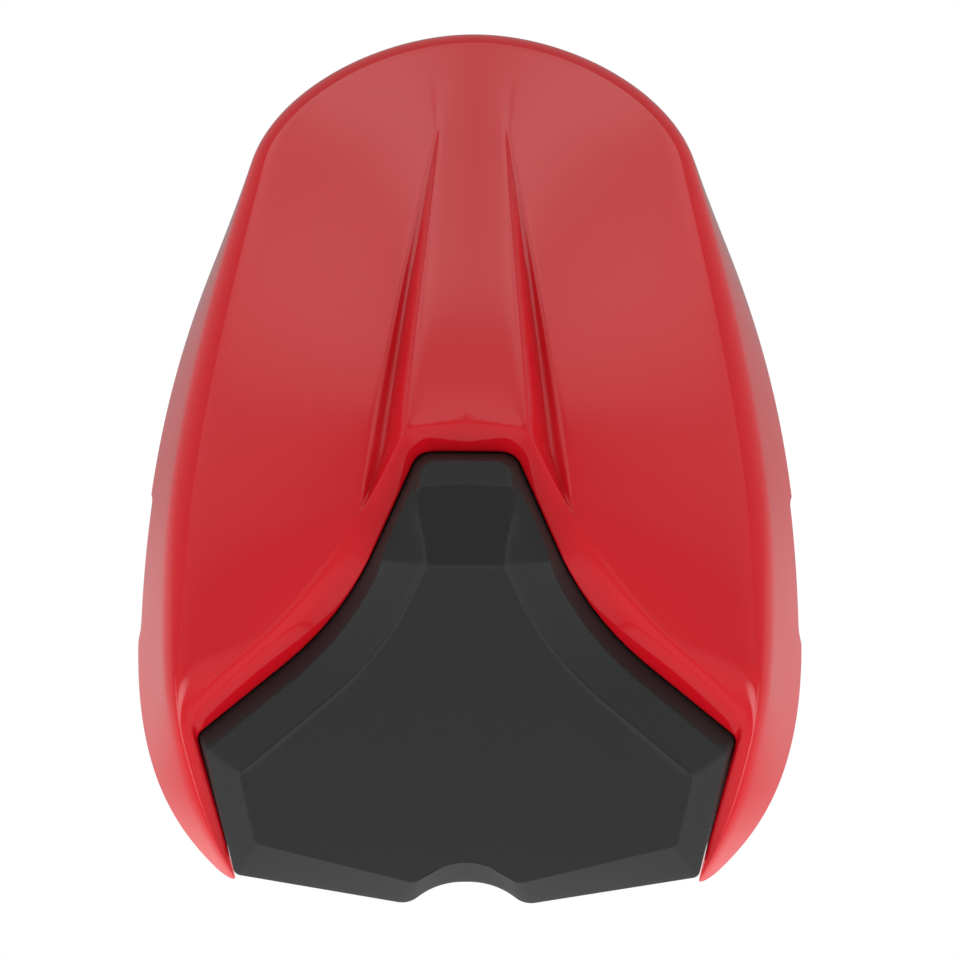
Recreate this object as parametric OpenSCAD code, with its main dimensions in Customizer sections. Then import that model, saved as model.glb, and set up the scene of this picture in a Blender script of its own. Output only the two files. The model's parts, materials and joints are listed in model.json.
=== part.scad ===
// Single-seat tail cowl of a motorcycle: a painted moulded shell with a rest pad,
// closed underneath by a ribbed tray that carries the front tongue, the lock stud
// and the rubber buffers.
// X runs across, Y runs back to the tail, Z is up. The rim of the shell stands on Z = 0.

/* [Shell outline] */
// Width over the rim at the widest place
shell_w = 243; // [232:1:256]
// Length of the rim behind the widest place
rim_rear = 239; // [225:1:250]
// Distance from the widest place forward to the tips
rim_front = 101; // [95:1:108]
// Distance between the two front tips
tip_w = 168; // [160:1:174]
// Wall thickness of the moulding
wall = 3; // [2.2:0.1:3.6]
// Lean of the flanks: how far the shoulder stands inside the rim
side_lean = 16.5; // [13:0.5:19]
// The same at the tail
tail_lean = 9; // [7:0.5:13]
// Bulge of the flanks beyond a straight line
flank_bulge = 0.3; // [0:0.1:4]
// Size of the rounding along the shoulder
shoulder_round = 12; // [6:0.5:14]

/* [Shell heights] */
// Height of the tips above the rim
tip_z = 3; // [2.5:0.5:6]
// Height of the shoulder beside the hump
shoulder_z = 62; // [56:1:68]
// Height of the shoulder at the tail
tail_z = 43.5; // [36:0.5:50]
// Height of the hump without the raised spine
hump_z = 118; // [110:1:126]
// Length over which the hump rounds over before it falls straight
hump_round = 80; // [60:1:100]
// Flatness of the crown: small values give a sharper roof
crown_c = 0.35; // [0.2:0.01:0.6]

/* [Side relief] */
// Height of the shallow cut-out in the lower edge of each flank
relief_deep = 6; // [3:0.5:10]
// Its start and its end, measured forwards and backwards from the widest place
relief_front = 9; // [0:1:20]
relief_rear = 51; // [40:1:60]

/* [Spine and grooves] */
// Height of the spine above the hump at its front end
spine_rise = 5; // [2:0.5:9]
// Width of the spine at its front end
spine_w = 41; // [34:1:46]
// Width of the spine at its rear end
spine_tail_w = 20.5; // [16:0.5:26]
// Length of the spine
spine_len = 172; // [150:1:185]
// Length of the spear-shaped grooves beside it
groove_len = 175; // [150:1:185]
// Distance between the front ends of the two grooves
groove_w = 73; // [68:1:78]
// Depth of the grooves
groove_deep = 3; // [1:0.1:4]

/* [Pad opening] */
// Slope of the pad face
face_slope = 50; // [46:0.5:53]
// Slope of its top piece
top_slope = 24; // [16:0.5:30]
// Distance up the slope from the tips to the fold
fold_s = 126.6; // [122:0.2:132]
// Radius of the fold
fold_r = 16; // [8:1:24]
// Distance up the slope from the tips to the top of the opening
open_s = 162; // [156:0.5:166]
// Width of the opening at its outer corners
open_w = 188; // [180:1:192]
// Distance up the slope from the tips to those corners
open_corner_s = 57; // [52:0.5:62]
// Width of the opening at the middle of its curved upper edges
open_mid_w = 86.6; // [78:1:94]
// Distance up the slope to that middle
open_mid_s = 102; // [98:0.5:106]
// Width of the opening at its top
open_top_w = 33; // [30:0.5:36]
// Radius of its two upper corners
open_top_r = 7; // [4:0.5:8]
// Distance from the top of the opening back to the front edge of the spine
brow = 5; // [3:0.5:8]
// Width of the rolled band that falls to the opening
band_w = 8.5; // [7:0.5:11]
// Depth of the return wall inside the opening
return_deep = 8; // [5:0.5:9]

/* [Rest pad] */
// Gap between the pad and the opening
pad_gap = 0.5; // [0.3:0.1:1.5]
// How far the pad face stands above the opening
pad_proud = 13; // [9:0.5:15]
// Height of the upright side of the pad above the opening
pad_side = 8; // [6:0.5:9]
// How far that side leans inwards
pad_lean = 3.5; // [2:0.5:5]
// Depth of the pad below the opening
pad_deep = 8; // [6:0.5:9]
// Width of the bevel round the pad face
pad_bevel = 12; // [9:0.5:14]
// Width of the arched notch in the lower edge
notch_w = 36; // [28:1:42]
// Depth of the notch
notch_deep = 8; // [4:0.5:10]

// Thickness of the plate behind the pad
plate_t = 3; // [2:0.5:4]
// Gap between that plate and the pad and return wall in front of it
plate_gap = 0.4; // [0.3:0.1:0.8]

/* [Tray] */
// Height of the underside of the tray above the rim
tray_z = 22; // [20:1:24]
// Thickness of the tray
tray_t = 3; // [2:0.5:4]
// Gap between the tray and the flanks
tray_gap = 0.8; // [0.5:0.1:1.2]
// Distance from the tips back to the front edge of the tray
tray_front = 38; // [36:1:44]
// Depth of the stiffening ribs under the tray
rib_deep = 5; // [2:0.5:6]
// Thickness of the ribs
rib_t = 2; // [1.5:0.5:3]
// Height of the bonded blocks that take the tray screws
block_h = 9; // [7:0.5:10]
// Width of the blocks along the flank
block_w = 22; // [16:1:28]
// Reach of the blocks inwards from the flank
block_in = 15; // [13:1:20]

/* [Fasteners] */
// Diameter of the tray screws
screw_d = 4; // [3:0.5:5]
// Length of their shank
screw_len = 10.5; // [9:0.5:11]
// Diameter of the bolts through the tray
bolt_d = 5; // [4:0.5:6]
// Radial gap of every shank in its hole
hole_gap = 0.15; // [0.1:0.05:0.4]
// Thickness of the washers
washer_t = 1; // [0.8:0.1:1.5]

/* [Stays] */
// Thickness of the steel strip of the pad stays
stay_t = 2; // [1.5:0.5:3]
// Width of the strip
stay_w = 22; // [18:1:28]
// Distance between the two stays
stay_span = 92; // [86:1:100]
// Places up the slope between which a stay bears on the pad plate
stay_low_s = 64; // [60:1:68]
stay_high_s = 90; // [86:1:94]
// Length of the foot on the tray
stay_foot = 26; // [24:1:32]

/* [Tongue] */
// Width of the front tongue
tongue_w = 40; // [30:1:50]
// Thickness of the tongue
tongue_t = 2.5; // [2:0.5:3]
// Height of its upper face at the front end
tongue_z = 8.5; // [7:0.5:10]
// Length of the flat end that hooks in
tongue_end = 15; // [12:0.5:17]

/* [Lock] */
// Distance of the lock stud behind the widest place
lock_y = 61; // [56:1:66]
// Diameter of the lock stud
stud_d = 10; // [8:0.5:12]
// Diameter of its latch neck
neck_d = 6.5; // [5:0.5:7]
// Height of the free end above the rim
stud_low = 2.5; // [1:0.5:4]
// Length of the head below the neck
stud_head = 5.5; // [4:0.5:7]
// Length of the neck
neck_len = 4; // [3:0.5:5]
// Width and length of the bracket that carries the stud
bracket_w = 48; // [44:1:52]
// Thickness of the bracket
bracket_t = 3; // [2:0.5:3]

/* [Buffers] */
// Diameter of the rubber buffers
buffer_d = 20; // [16:1:24]
// Length of the buffers below the tray
buffer_h = 10; // [7:0.5:13]
// Distance between the buffers across
buffer_span = 96; // [92:1:100]
// Distance between the front and the rear pair
buffer_pitch = 120; // [116:1:124]

/* [Hidden] */
$fn = 48;
red = "#c4282e";
black = "#262729";
rubber = "#1c1c1d";
steel = "#8f9397";
zinc = "#c2c5c8";

// Places that follow from the sizes above
wide_y = -31;
half_w = shell_w / 2;
tip = [tip_w / 2, wide_y - rim_front];
tail_y = wide_y + rim_rear;
ridge_w = half_w - side_lean;
ridge_tip = tip + [-1, 0.5];
ridge_tail = tail_y - tail_lean;
shell_z = hump_z + spine_rise;

// Cubic curve through four control points
function bez(p, t) = pow(1 - t, 3) * p[0] + 3 * t * pow(1 - t, 2) * p[1]
    + 3 * t * t * (1 - t) * p[2] + t * t * t * p[3];
function mix(a, b, t) = a + (b - a) * t;
function unit(v) = v / norm(v);
// Smaller of two heights with the crossing rounded off over r
function soft_min(a, b, r) = min(a, b) - pow(max(r - abs(a - b), 0), 2) / (4 * r);
// Step that eases in and out between 0 and 1
function ease(t) = let (c = min(max(t, 0), 1)) c * c * (3 - 2 * c);
// Running length of a path, as pairs for lookup()
function lengths(p, i = 0, l = 0) = i >= len(p) - 1 ? [l]
    : concat([l], lengths(p, i + 1, l + norm(p[i + 1] - p[i])));
// Point of path p at length l along it
function along(p, s, l) = [for (k = [0:len(p[0]) - 1]) lookup(l, [for (i = [0:len(p) - 1]) [s[i], p[i][k]]])];

// Plan of the rim and of the shoulder: front, side and round, from the tip to the tail
rim_front_curve = [tip, [mix(tip.x, half_w, 0.576), wide_y - 0.811 * rim_front],
    [half_w, wide_y - 0.57 * rim_front], [half_w, wide_y]];
rim_side_curve = [[half_w, wide_y], [half_w, wide_y + 0.31 * rim_rear],
    [0.911 * half_w, wide_y + 0.514 * rim_rear], [0.746 * half_w, wide_y + 0.748 * rim_rear]];
rim_round_curve = [rim_side_curve[3], [0.66 * half_w, wide_y + 0.912 * rim_rear],
    [0.354 * half_w, tail_y], [0, tail_y]];
ridge_rear = ridge_tail - wide_y;
ridge_front_curve = [ridge_tip, [ridge_w - 0.6, wide_y - 0.752 * rim_front],
    [ridge_w, wide_y - 0.436 * rim_front], [ridge_w, wide_y]];
ridge_side_curve = [[ridge_w, wide_y], [ridge_w, wide_y + 0.24 * ridge_rear],
    [0.84 * ridge_w, wide_y + 0.5625 * ridge_rear], [0.7805 * ridge_w, wide_y + 0.728 * ridge_rear]];
ridge_round_curve = [ridge_side_curve[3], [0.7265 * ridge_w, wide_y + 0.861 * ridge_rear],
    [0.3615 * ridge_w, ridge_tail], [0, ridge_tail]];
function on_rim(v) = v < 1 ? bez(rim_front_curve, v) : v < 2 ? bez(rim_side_curve, v - 1)
    : bez(rim_round_curve, v - 2);
function on_ridge(v) = v < 1 ? bez(ridge_front_curve, v) : v < 2 ? bez(ridge_side_curve, v - 1)
    : bez(ridge_round_curve, v - 2);
ridge_by_y = [for (v = [0:1/40:3]) let (p = on_ridge(v)) [p.y, p.x]];
function ridge_half(y) = max(lookup(y, ridge_by_y), 0.01);

// Side profile of the opening: straight, an arc at the fold, straight; s runs up the slope
turn = face_slope - top_slope;
fold_half = fold_r * turn * PI / 360;
fold_a = fold_s - fold_half;
fold_b = fold_s + fold_half;
function slope_at(s) = s < fold_a ? face_slope : s > fold_b ? top_slope
    : face_slope - (s - fold_a) * 180 / (PI * fold_r);
function base_at(s) = let (
        a = [tip.y, tip_z] + min(s, fold_a) * [cos(face_slope), sin(face_slope)],
        g = slope_at(s),
        b = a + fold_r * [sin(face_slope) - sin(g), cos(g) - cos(face_slope)])
    s < fold_a ? a : b + max(s - fold_b, 0) * [cos(top_slope), sin(top_slope)];
// Point at x across, s up the slope and n out of it
function on_face(x, s, n) = let (b = base_at(s), g = slope_at(s))
    [x, b.x - n * sin(g), b.y + n * cos(g)];

// Path with its corners rounded: each key is [x, y, radius]
function corner_arc(a, b, c, r, n) = let (
        u = unit(a - b), w = unit(c - b), h = acos(u * w) / 2, t = r / tan(h),
        o = b + unit(u + w) * r / sin(h), p = b + u * t, q = b + w * t)
    [for (k = [0:n]) let (d = mix(p, q, k / n) - o) o + unit(d) * r];
function rounded(keys, n) = [for (i = [0:len(keys) - 1]) let (k = keys[i])
    each (i == 0 || i == len(keys) - 1 || k[2] == 0 ? [[k.x, k.y]]
        : corner_arc([keys[i - 1].x, keys[i - 1].y], [k.x, k.y], [keys[i + 1].x, keys[i + 1].y], k[2], n))];

// Edge of the opening in x and s, from a tip to the middle of the top
lip_keys = [[tip.x - 2, 0.5, 0], [open_w / 2, open_corner_s, 4], [open_mid_w / 2, open_mid_s, 120],
    [open_top_w / 2, open_s, open_top_r], [0, open_s, 0]];
lip_path = rounded(lip_keys, 8);
lip_len = lengths(lip_path);
lip_total = lip_len[len(lip_len) - 1];

// Heights of the body without spine and grooves
front_pitch = tan(face_slope);
function shoulder_at(y) = soft_min(tip_z + 1.5 + (y - tip.y) * front_pitch,
    shoulder_z - (shoulder_z - tail_z) * pow(max((y + 10) / (ridge_tail + 10), 0), 2), 14);
hump_y = -15;
hump_k = (hump_z - tail_z) / (sqrt(1 + pow((ridge_tail - hump_y) / hump_round, 2)) - 1);
function hump_at(y) = hump_z - hump_k * (sqrt(1 + pow(max(y - hump_y, 0) / hump_round, 2)) - 1);
function rise_at(y) = soft_min(hump_at(y) - shoulder_at(y), 20 + 1.1 * (y + 93), 30);
function crown(q) = 1 - (sqrt(q * q + crown_c * crown_c) - crown_c) / (sqrt(1 + crown_c * crown_c) - crown_c);
function body_z(x, y) = shoulder_at(y) + rise_at(y) * crown(min(abs(x) / ridge_half(y), 1));

// Crest of the band round the opening, in plan: side strip, corner, curve, spine corner, middle
open_top_y = base_at(open_s).x;
spine_y = open_top_y + brow;
function face_plan(x, s) = let (b = base_at(s)) [x, b.x];
mid_plan = face_plan(open_mid_w / 2, open_mid_s);
corner_plan = face_plan(open_w / 2, open_corner_s);
crest_keys = [[tip.x - 1.5, tip.y + 0.4, 0],
    [corner_plan.x + 0.32 * band_w, corner_plan.y + 0.49 * band_w, 4],
    [mid_plan.x + 0.62 * band_w, mid_plan.y + 0.74 * band_w, 110],
    [spine_w / 2, spine_y, 1], [0, spine_y + 2.5, 0]];
crest_path = rounded(crest_keys, 8);
crest_len = lengths(crest_path);
crest_total = crest_len[len(crest_len) - 1];
crest_turn = lengths([for (i = [0:1]) [crest_keys[i].x, crest_keys[i].y]])[1];
crest_spine = crest_total - norm([spine_w / 2, 2.5]);

// Spine and groove lines in plan
n_crest = len(crest_path);
crest_x_by_y = [for (p = crest_path) if (p.y > corner_plan.y + 6) [p.y, p.x]];
crest_y_by_x = [for (i = [n_crest - 1:-1:0]) let (p = crest_path[i]) if (p.y > corner_plan.y + 6) [p.x, p.y]];
groove_tip = [groove_w / 2, lookup(groove_w / 2, crest_y_by_x)];
groove_end = groove_tip.y + groove_len;
spine_end = spine_y + spine_len;
function edge_x(y) = y < spine_y ? lookup(y, crest_x_by_y)
    : mix(spine_w, spine_tail_w, (y - spine_y) / spine_len) / 2;
edge_at_end = mix(spine_w, spine_tail_w, (groove_end - spine_y) / spine_len) / 2;
function outer_x(y) = y < groove_end
    ? mix(groove_tip.x, edge_at_end + 2.2, (y - groove_tip.y) / groove_len)
    : edge_x(y) + 2.2 + 0.15 * (y - groove_end);
function valley_x(y) = mix(outer_x(y), edge_x(y), 0.36);
function groove_at(y) = groove_deep * ease((y - groove_tip.y + 1) / 18) * (1 - ease((y - 20) / (groove_end - 20)));
function spine_top(y) = hump_at(y) + spine_rise * (1 - ease((y - spine_y) / (spine_len + 6)));
function edge_z(y) = y >= spine_y ? spine_top(y) - 0.6
    : let (t = min((spine_y - y) / (spine_y - groove_tip.y), 1))
        mix(spine_top(spine_y) - 0.6, body_z(groove_tip.x, groove_tip.y), 1 - pow(1 - t, 1.4));
// Height of the outer skin behind the crest
function skin_z(x, y) = x >= outer_x(y) || y < groove_tip.y ? body_z(x, y)
    : mix(feature_z(x, y), body_z(x, y), ease((y - spine_end + 8) / 24));
function feature_z(x, y) = let (xo = outer_x(y), xv = valley_x(y), xe = edge_x(y))
    x >= xv ? body_z(xo, y) - groove_at(y) * (xo - x) / max(xo - xv, 0.01)
    : x >= xe ? mix(body_z(xo, y) - groove_at(y), edge_z(y), (xv - x) / max(xv - xe, 0.01))
    : mix(spine_top(y), edge_z(y), pow(x / xe, 2));

// Rows run from the tip (0) past the top of the opening (lip_rows) to the tail (rows)
lip_rows = 24;
rows = 40;
row_v = [[0, 0], [7, 0.45], [21, 1.25], [24, 1.36], [rows, 3]];
row_lip = [[0, 0], [6, lip_len[1] - 1], [8, lip_len[9] + 2], [20, lip_len[len(lip_len) - 10] - 2],
    [22, lip_len[len(lip_len) - 2] + 1], [lip_rows, lip_total]];
row_crest = [[0, 0], [6, crest_turn - 5], [8, crest_turn + 3], [21, crest_spine], [lip_rows, crest_total]];
row_wall = [[0, 0.25], [3, 0.7], [6, 1], [rows, 1]];
row_return = [[0, 0.1], [2, 0.3], [8, 0.42], [12, 1], [lip_rows, 1]];
row_gap = [[0, 0.12], [7, 0.3], [9, 1], [16, 0.6], [rows, 0.6]];
panel_cols = 6;
centre_from = crest_path[n_crest - 1].y;
centre_to = ridge_tail - 2.6 * shoulder_round;
function inner_end(i) = i <= lip_rows ? along(crest_path, crest_len, lookup(i, row_crest))
    : [0, mix(centre_from, centre_to, pow((i - lip_rows) / (rows - lip_rows), 0.85))];
// Fraction of the way from a to b at which a feature line is crossed, or 1
function crossing(a, b, f, lo = 0, hi = 1, n = 14) = let (m = (lo + hi) / 2, p = mix(a, b, m))
    n == 0 ? m : p.x > (f == 0 ? outer_x(p.y) : f == 1 ? valley_x(p.y) : edge_x(p.y)) && p.y > groove_tip.y - 30
        ? crossing(a, b, f, m, hi, n - 1) : crossing(a, b, f, lo, m, n - 1);
function has_groove(b) = b.y > groove_tip.y && b.x < groove_tip.x;
function top_steps(i) = let (
        a = on_ridge(lookup(i, row_v)), b = inner_end(i), d = norm(b - a),
        g = lookup(i, row_gap) / d, r = min(shoulder_round, 0.4 * d) / d,
        on = has_groove(b),
        te = max(min(on ? crossing(a, b, 2) : 1, 1 - 3 * g), r + 4 * g),
        tv = max(min(on ? crossing(a, b, 1) : 1, te - g), r + 3 * g),
        to = max(min(on ? crossing(a, b, 0) : 1, tv - g), r + 2 * g))
    concat([for (k = [0:panel_cols]) mix(r, to, k / (panel_cols + 1))],
        [to, tv, te, mix(te, 1, 1/3), mix(te, 1, 2/3), 1]);
band_cols = 3;
function lift(p, z) = [p.x, p.y, z];
// Point of the flank at place v along the rim and height z
function flank_point(v, z) = let (
        s2 = on_ridge(v), r2 = on_rim(v), top = shoulder_at(s2.y), q = z / top,
        puff = flank_bulge * 4 * q * (1 - q) * min(norm([norm(s2 - r2), top]) / 40, 1))
    lift(mix(r2, s2, q) + unit(r2 - s2) * puff, z);
// Height of the lower edge
relief_end = 4;
function rim_z(y) = relief_deep * ease((y - wide_y + relief_front) / relief_end)
    * ease((wide_y + relief_rear - y) / relief_end);
// One row of the skin from the rim inwards; with plain true the spine and grooves are left out
function row(i, plain) = let (
        v = lookup(i, row_v), s2 = on_ridge(v), r2 = on_rim(v), b = inner_end(i),
        s3 = lift(s2, shoulder_at(s2.y)), h = norm(s3 - lift(r2, 0)),
        edge = 1 - min(shoulder_round, 0.4 * h) / h,
        flank = [for (k = [0:4]) flank_point(v, mix(rim_z(r2.y), edge * s3.z, k / 4))],
        steps = top_steps(i),
        top = [for (t = steps) let (p = mix(s2, b, t)) lift(p, plain ? body_z(p.x, p.y) : skin_z(p.x, p.y))],
        fillet = [for (t = [1/3, 2/3]) pow(1 - t, 2) * flank[4] + 2 * t * (1 - t) * s3 + t * t * top[0]],
        lp = i > lip_rows ? [0, 0] : along(lip_path, lip_len, lookup(i, row_lip)),
        lip = on_face(lp.x, lp.y, 0),
        k3 = top[len(top) - 1],
        band = [for (k = [1:band_cols - 1]) mix(k3, lip, k / band_cols)],
        wall_end = on_face(lp.x, lp.y, -return_deep * lookup(i, row_return)))
    concat(flank, fillet, top, i > lip_rows ? [] : concat(band, [lip, wall_end]));
top_first = 7;
crest_col = top_first + panel_cols + 6;
last_col = crest_col + band_cols + 1;
skin = [for (i = [0:rows]) row(i, false)];
plain_skin = [for (i = [0:rows]) row(i, true)];
function cols(i) = i > lip_rows ? crest_col : last_col;
// Outward direction at row i, column j of the plain skin
function across(i, j) = let (c = cols(i), a = plain_skin[i])
    j == c && i > lip_rows && i < rows ? let (p = a[j - 1]) [-p.x, p.y, p.z] - p
    : a[min(j + 1, c)] - a[max(j - 1, 0)];
function down(i, j) = let (b = plain_skin[max(i - 1, 0)][j])
    i == rows || (i == lip_rows && j > crest_col) ? [-1, 0, 0] : plain_skin[i + 1][j] - b;
function outward(i, j) = let (n = cross(down(i, j), across(i, j)), m = unit(n))
    abs(skin[i][j].x) < 0.001 ? unit([0, m.y, m.z]) : m;
inner = [for (i = [0:rows]) [for (j = [0:cols(i)]) let (
        n = outward(i, j), w = wall * lookup(i, row_wall), p = skin[i][j])
    j == 0 ? lift(p - w * lift(unit([n.x, n.y]), 0), p.z) : p - w * n]];

// Mirrored copy of a list of points
function mirrored(p) = [for (q = p) [-q.x, q.y, q.z]];
function flipped(f) = [for (t = f) [for (k = [len(t) - 1:-1:0]) t[k]]];
function shifted(f, n) = [for (t = f) [for (v = t) v + n]];
// Two triangles for the cell a b c d, or one where two corners are the same point
function cell(a, b, c, d, p) = concat(
    p[a] == p[b] || p[b] == p[c] ? [] : [[a, b, c]],
    p[a] == p[d] || p[c] == p[d] ? [] : [[a, c, d]]);

// Shell: outer skin, inner skin and the strips that close its edges, right half
row_start = [for (i = [0:rows]) i <= lip_rows ? i * (last_col + 1)
    : (lip_rows + 1) * (last_col + 1) + (i - lip_rows - 1) * (crest_col + 1)];
shell_outer = [for (r = skin) each r];
shell_inner = [for (r = inner) each r];
n_skin = len(shell_outer);
shell_points = concat(shell_outer, shell_inner);
skin_faces = [for (i = [0:rows - 1]) for (j = [0:(i < lip_rows ? last_col : crest_col) - 1])
    each cell(row_start[i] + j, row_start[i] + j + 1, row_start[i + 1] + j + 1, row_start[i + 1] + j, shell_points)];
function edge_cell(a, b) = [[a, b, b + n_skin], [a, b + n_skin, a + n_skin]];
edge_faces = concat(
    [for (i = [0:rows - 1]) each edge_cell(row_start[i], row_start[i + 1])],
    [for (i = [0:lip_rows - 1]) each edge_cell(row_start[i + 1] + last_col, row_start[i] + last_col)],
    [for (j = [0:last_col - 1]) each edge_cell(j + 1, j)]);
shell_faces = concat(skin_faces, flipped(shifted(skin_faces, n_skin)), edge_faces);

// Pad: each key gives the border, the brim and the face position in x and s and a rounding radius
function lip_mid(s) = mix(lip_keys[2], lip_keys[3], (s - open_mid_s) / (open_s - open_mid_s)).x;
lip_lean = (open_w / 2 - lip_keys[0].x) / (open_corner_s - lip_keys[0].y);
function lip_low(s) = lip_keys[0].x + (s - lip_keys[0].y) * lip_lean;
function fold_key(s, x) = [[lip_mid(s) - pad_gap, s], [lip_mid(s) - pad_gap - pad_lean, s], [x, s], 0];
notch_s = notch_deep - 4.4;
low_s = 7.5;
pad_keys = [[[0, notch_s + 4.5], [0, notch_s], [0, notch_s + 10.8], 0],
    [[notch_w * 0.27, notch_s + 4.5], [notch_w * 0.27, notch_s], [notch_w * 0.21, notch_s + 10.8], 24],
    [[notch_w * 0.57, -0.3], [notch_w * 0.57, -5.5], [notch_w * 0.5, 5.8], 8],
    [[lip_low(low_s) - pad_gap, low_s], [lip_low(low_s) - pad_gap - 1.4, low_s - 1.4],
        [tip.x - 10.5, 21.5], 3],
    [[open_w / 2 - pad_gap, open_corner_s - 0.4 * pad_gap],
        [open_w / 2 - pad_gap - pad_lean, open_corner_s - 1.8],
        [open_w / 2 - pad_lean - pad_bevel, open_corner_s - 8], 3.4],
    [[open_mid_w / 2 - 0.7 * pad_gap, open_mid_s - 0.7 * pad_gap],
        [open_mid_w / 2 - 0.6 * pad_lean, open_mid_s - 0.8 * pad_lean],
        [open_mid_w / 2 - pad_lean - 1.1 * pad_bevel, open_mid_s - 5], 120],
    fold_key(fold_a, 16), fold_key(fold_s, 13.2), fold_key(fold_b, 13.7),
    [[open_top_w / 2 - pad_gap, open_s - pad_gap], [open_top_w / 2 - 0.7 * pad_lean, open_s - pad_lean],
        [open_top_w / 2 + 0.8, open_s - pad_bevel - 0.4], open_top_r],
    [[0, open_s - pad_gap], [0, open_s - pad_lean], [0, open_s - pad_bevel + 0.6], 0]];
pad_low = 4;
// Layers from the back to the face: place between border 0, brim 1 and face 2, height, lift of the lower edge
function pad_n(t) = mix(pad_side, pad_proud, t - 1);
pad_layers = [[0, -pad_deep, 5], [0, -0.5, 0], [0.85, 0.85 * pad_side, 0], [1.12, pad_n(1.12), 0],
    [1.92, pad_n(1.92), 0], [2, pad_proud, 0]];
function pad_place(p, t) = t < 1 ? mix(p[0], p[1], t) : mix(p[1], p[2], t - 1);
function pad_outline(t, up) = rounded([for (k = [0:len(pad_keys) - 1]) let (p = pad_keys[k], q = pad_place(p, t))
    [q.x + (k == pad_low - 1 ? up * lip_lean : 0), q.y + (k < pad_low ? up : 0), p[3]]], 6);
// Above the brim the fold of the pad is a crease
function creased(s, t, n) = n + min(max(2 * t - 1, 0), 1) * (fold_r + n)
    * (1 / cos(max(turn / 2 - abs(s - fold_s) * 180 / PI / fold_r, 0)) - 1);
function on_pad(p, l) = on_face(p.x, p.y, creased(p.y, pad_layers[l][0], pad_layers[l][1]));
pad_outlines = [for (l = pad_layers) pad_outline(l[0], l[2])];
n_ring = len(pad_outlines[0]);
n_layers = len(pad_layers);
// Points on the centre line that close the face and the back, one for each point of an outline
close_from = 30;
close_to = 140;
function centre_points(l) = let (o = pad_outlines[l], low = [for (k = [0:n_ring - 1]) if (o[k].y > close_from) k][0])
    [for (k = [0:n_ring - 1]) on_pad([0, k < low ? mix(o[0].y, close_from, k / low) : min(o[k].y, close_to)], l)];
pad_points = concat(
    [for (l = [0:n_layers - 1]) each [for (p = pad_outlines[l]) on_pad(p, l)]],
    centre_points(0), centre_points(n_layers - 1));
pad_faces = [for (k = [0:n_ring - 2]) each concat(
    [for (l = [0:n_layers - 2]) let (a = l * n_ring + k, b = a + n_ring) each cell(b, b + 1, a + 1, a, pad_points)],
    let (a = k, c = n_layers * n_ring + k) cell(a, a + 1, c + 1, c, pad_points),
    let (a = (n_layers - 1) * n_ring + k, c = (n_layers + 1) * n_ring + k) cell(a + 1, a, c, c + 1, pad_points))];

// The origin lies under the middle of the part
front_y = min([for (p = pad_points) p.y]);
module placed() translate([0, -(front_y + tail_y) / 2, 0]) children();
module both_sides() {
    children();
    mirror([1, 0, 0]) children();
}

// Strip of thickness t along the left side of path p
function strip(p, t) = let (n = len(p) - 1) concat(p, [for (i = [n:-1:0]) let (
    d = unit(p[min(i + 1, n)] - p[max(i - 1, 0)])) p[i] + t * [-d.y, d.x]]);

// Screw, bolt or rivet standing on z = 0 with its head below
module screw(d, length) {
    cylinder(d = d, h = length);
    difference() {
        translate([0, 0, -0.7 * d]) cylinder(d = 1.8 * d, h = 0.7 * d);
        translate([0, 0, -0.7 * d - 1]) cylinder(d = d, h = 0.4 * d + 1, $fn = 6);
    }
}
module washer(d, t) difference() {
    cylinder(d = 2.2 * d, h = t);
    translate([0, 0, -1]) cylinder(d = d + 2 * hole_gap, h = t + 2);
}
nut_h = 0.8;
module nut(d) difference() {
    cylinder(d = 1.9 * d, h = nut_h * d, $fn = 6);
    translate([0, 0, -1]) cylinder(d = d + 2 * hole_gap, h = nut_h * d + 2);
}
module hole(d) cylinder(d = d + 2 * hole_gap, h = shell_z, center = true);

// Tray screws and the bonded blocks stand at these places along the rim
block_v = [0.68, 1.3, 2.12];
bond_gap = 0.4;
tray_top = tray_z + tray_t;
wall_across = wall / cos(atan(side_lean / shoulder_z));
function inward(v, z) = let (d = unit(flank_point(v + 0.01, z) - flank_point(v - 0.01, z))) unit([-d.y, d.x]);
function inset(v, z, d) = let (p = flank_point(v, z)) [p.x, p.y] + d * inward(v, z);
// Bow of the flank over the width of a block
function bow(v) = let (
        dv = 0.01 * block_w / norm(flank_point(v + 0.01, tray_top) - flank_point(v - 0.01, tray_top)))
    norm((flank_point(v + dv, tray_top) + flank_point(v - dv, tray_top)) / 2 - flank_point(v, tray_top));
function block_at(v, d) = inset(v, tray_top, wall_across + bond_gap + bow(v) + d);
screw_in = 8;
function screw_at(v) = block_at(v, screw_in);
module at_blocks() both_sides() for (v = block_v) let (p = screw_at(v)) translate([p.x, p.y, 0]) children();

// Buffers, bolts and rivets in plan
buffer_y = wide_y + 1;
buffers = [for (x = [-1, 1], k = [0, 1]) [x * buffer_span / 2, buffer_y + k * buffer_pitch]];
stem_d = 7;
lock = [0, wide_y + lock_y];
bolt_in = bracket_w / 2 - 9;
bracket_bolt_places = [for (x = [-1, 1], y = [-1, 1]) lock + [x, y] * bolt_in];
tray_y = tip.y + tray_front;
rivet_places = [for (x = [-1, 1]) [x * tongue_w * 0.3, tray_y + 14]];
rivet_d = 4;
tongue_lap = 22;

// Stay in side view: foot, riser and flange
stay_n = -(pad_deep + plate_gap + plate_t);
function side_of(p) = [p.y, p.z];
stay_low = side_of(on_face(0, stay_low_s, stay_n));
stay_high = side_of(on_face(0, stay_high_s, stay_n));
stay_hole_s = (stay_low_s + stay_high_s) / 2 + 2;
stay_bolt_y = stay_low.x + stay_foot - 9;
stay_bolt_places = [for (x = [-1, 1]) [x * stay_span / 2, stay_bolt_y]];

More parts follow.
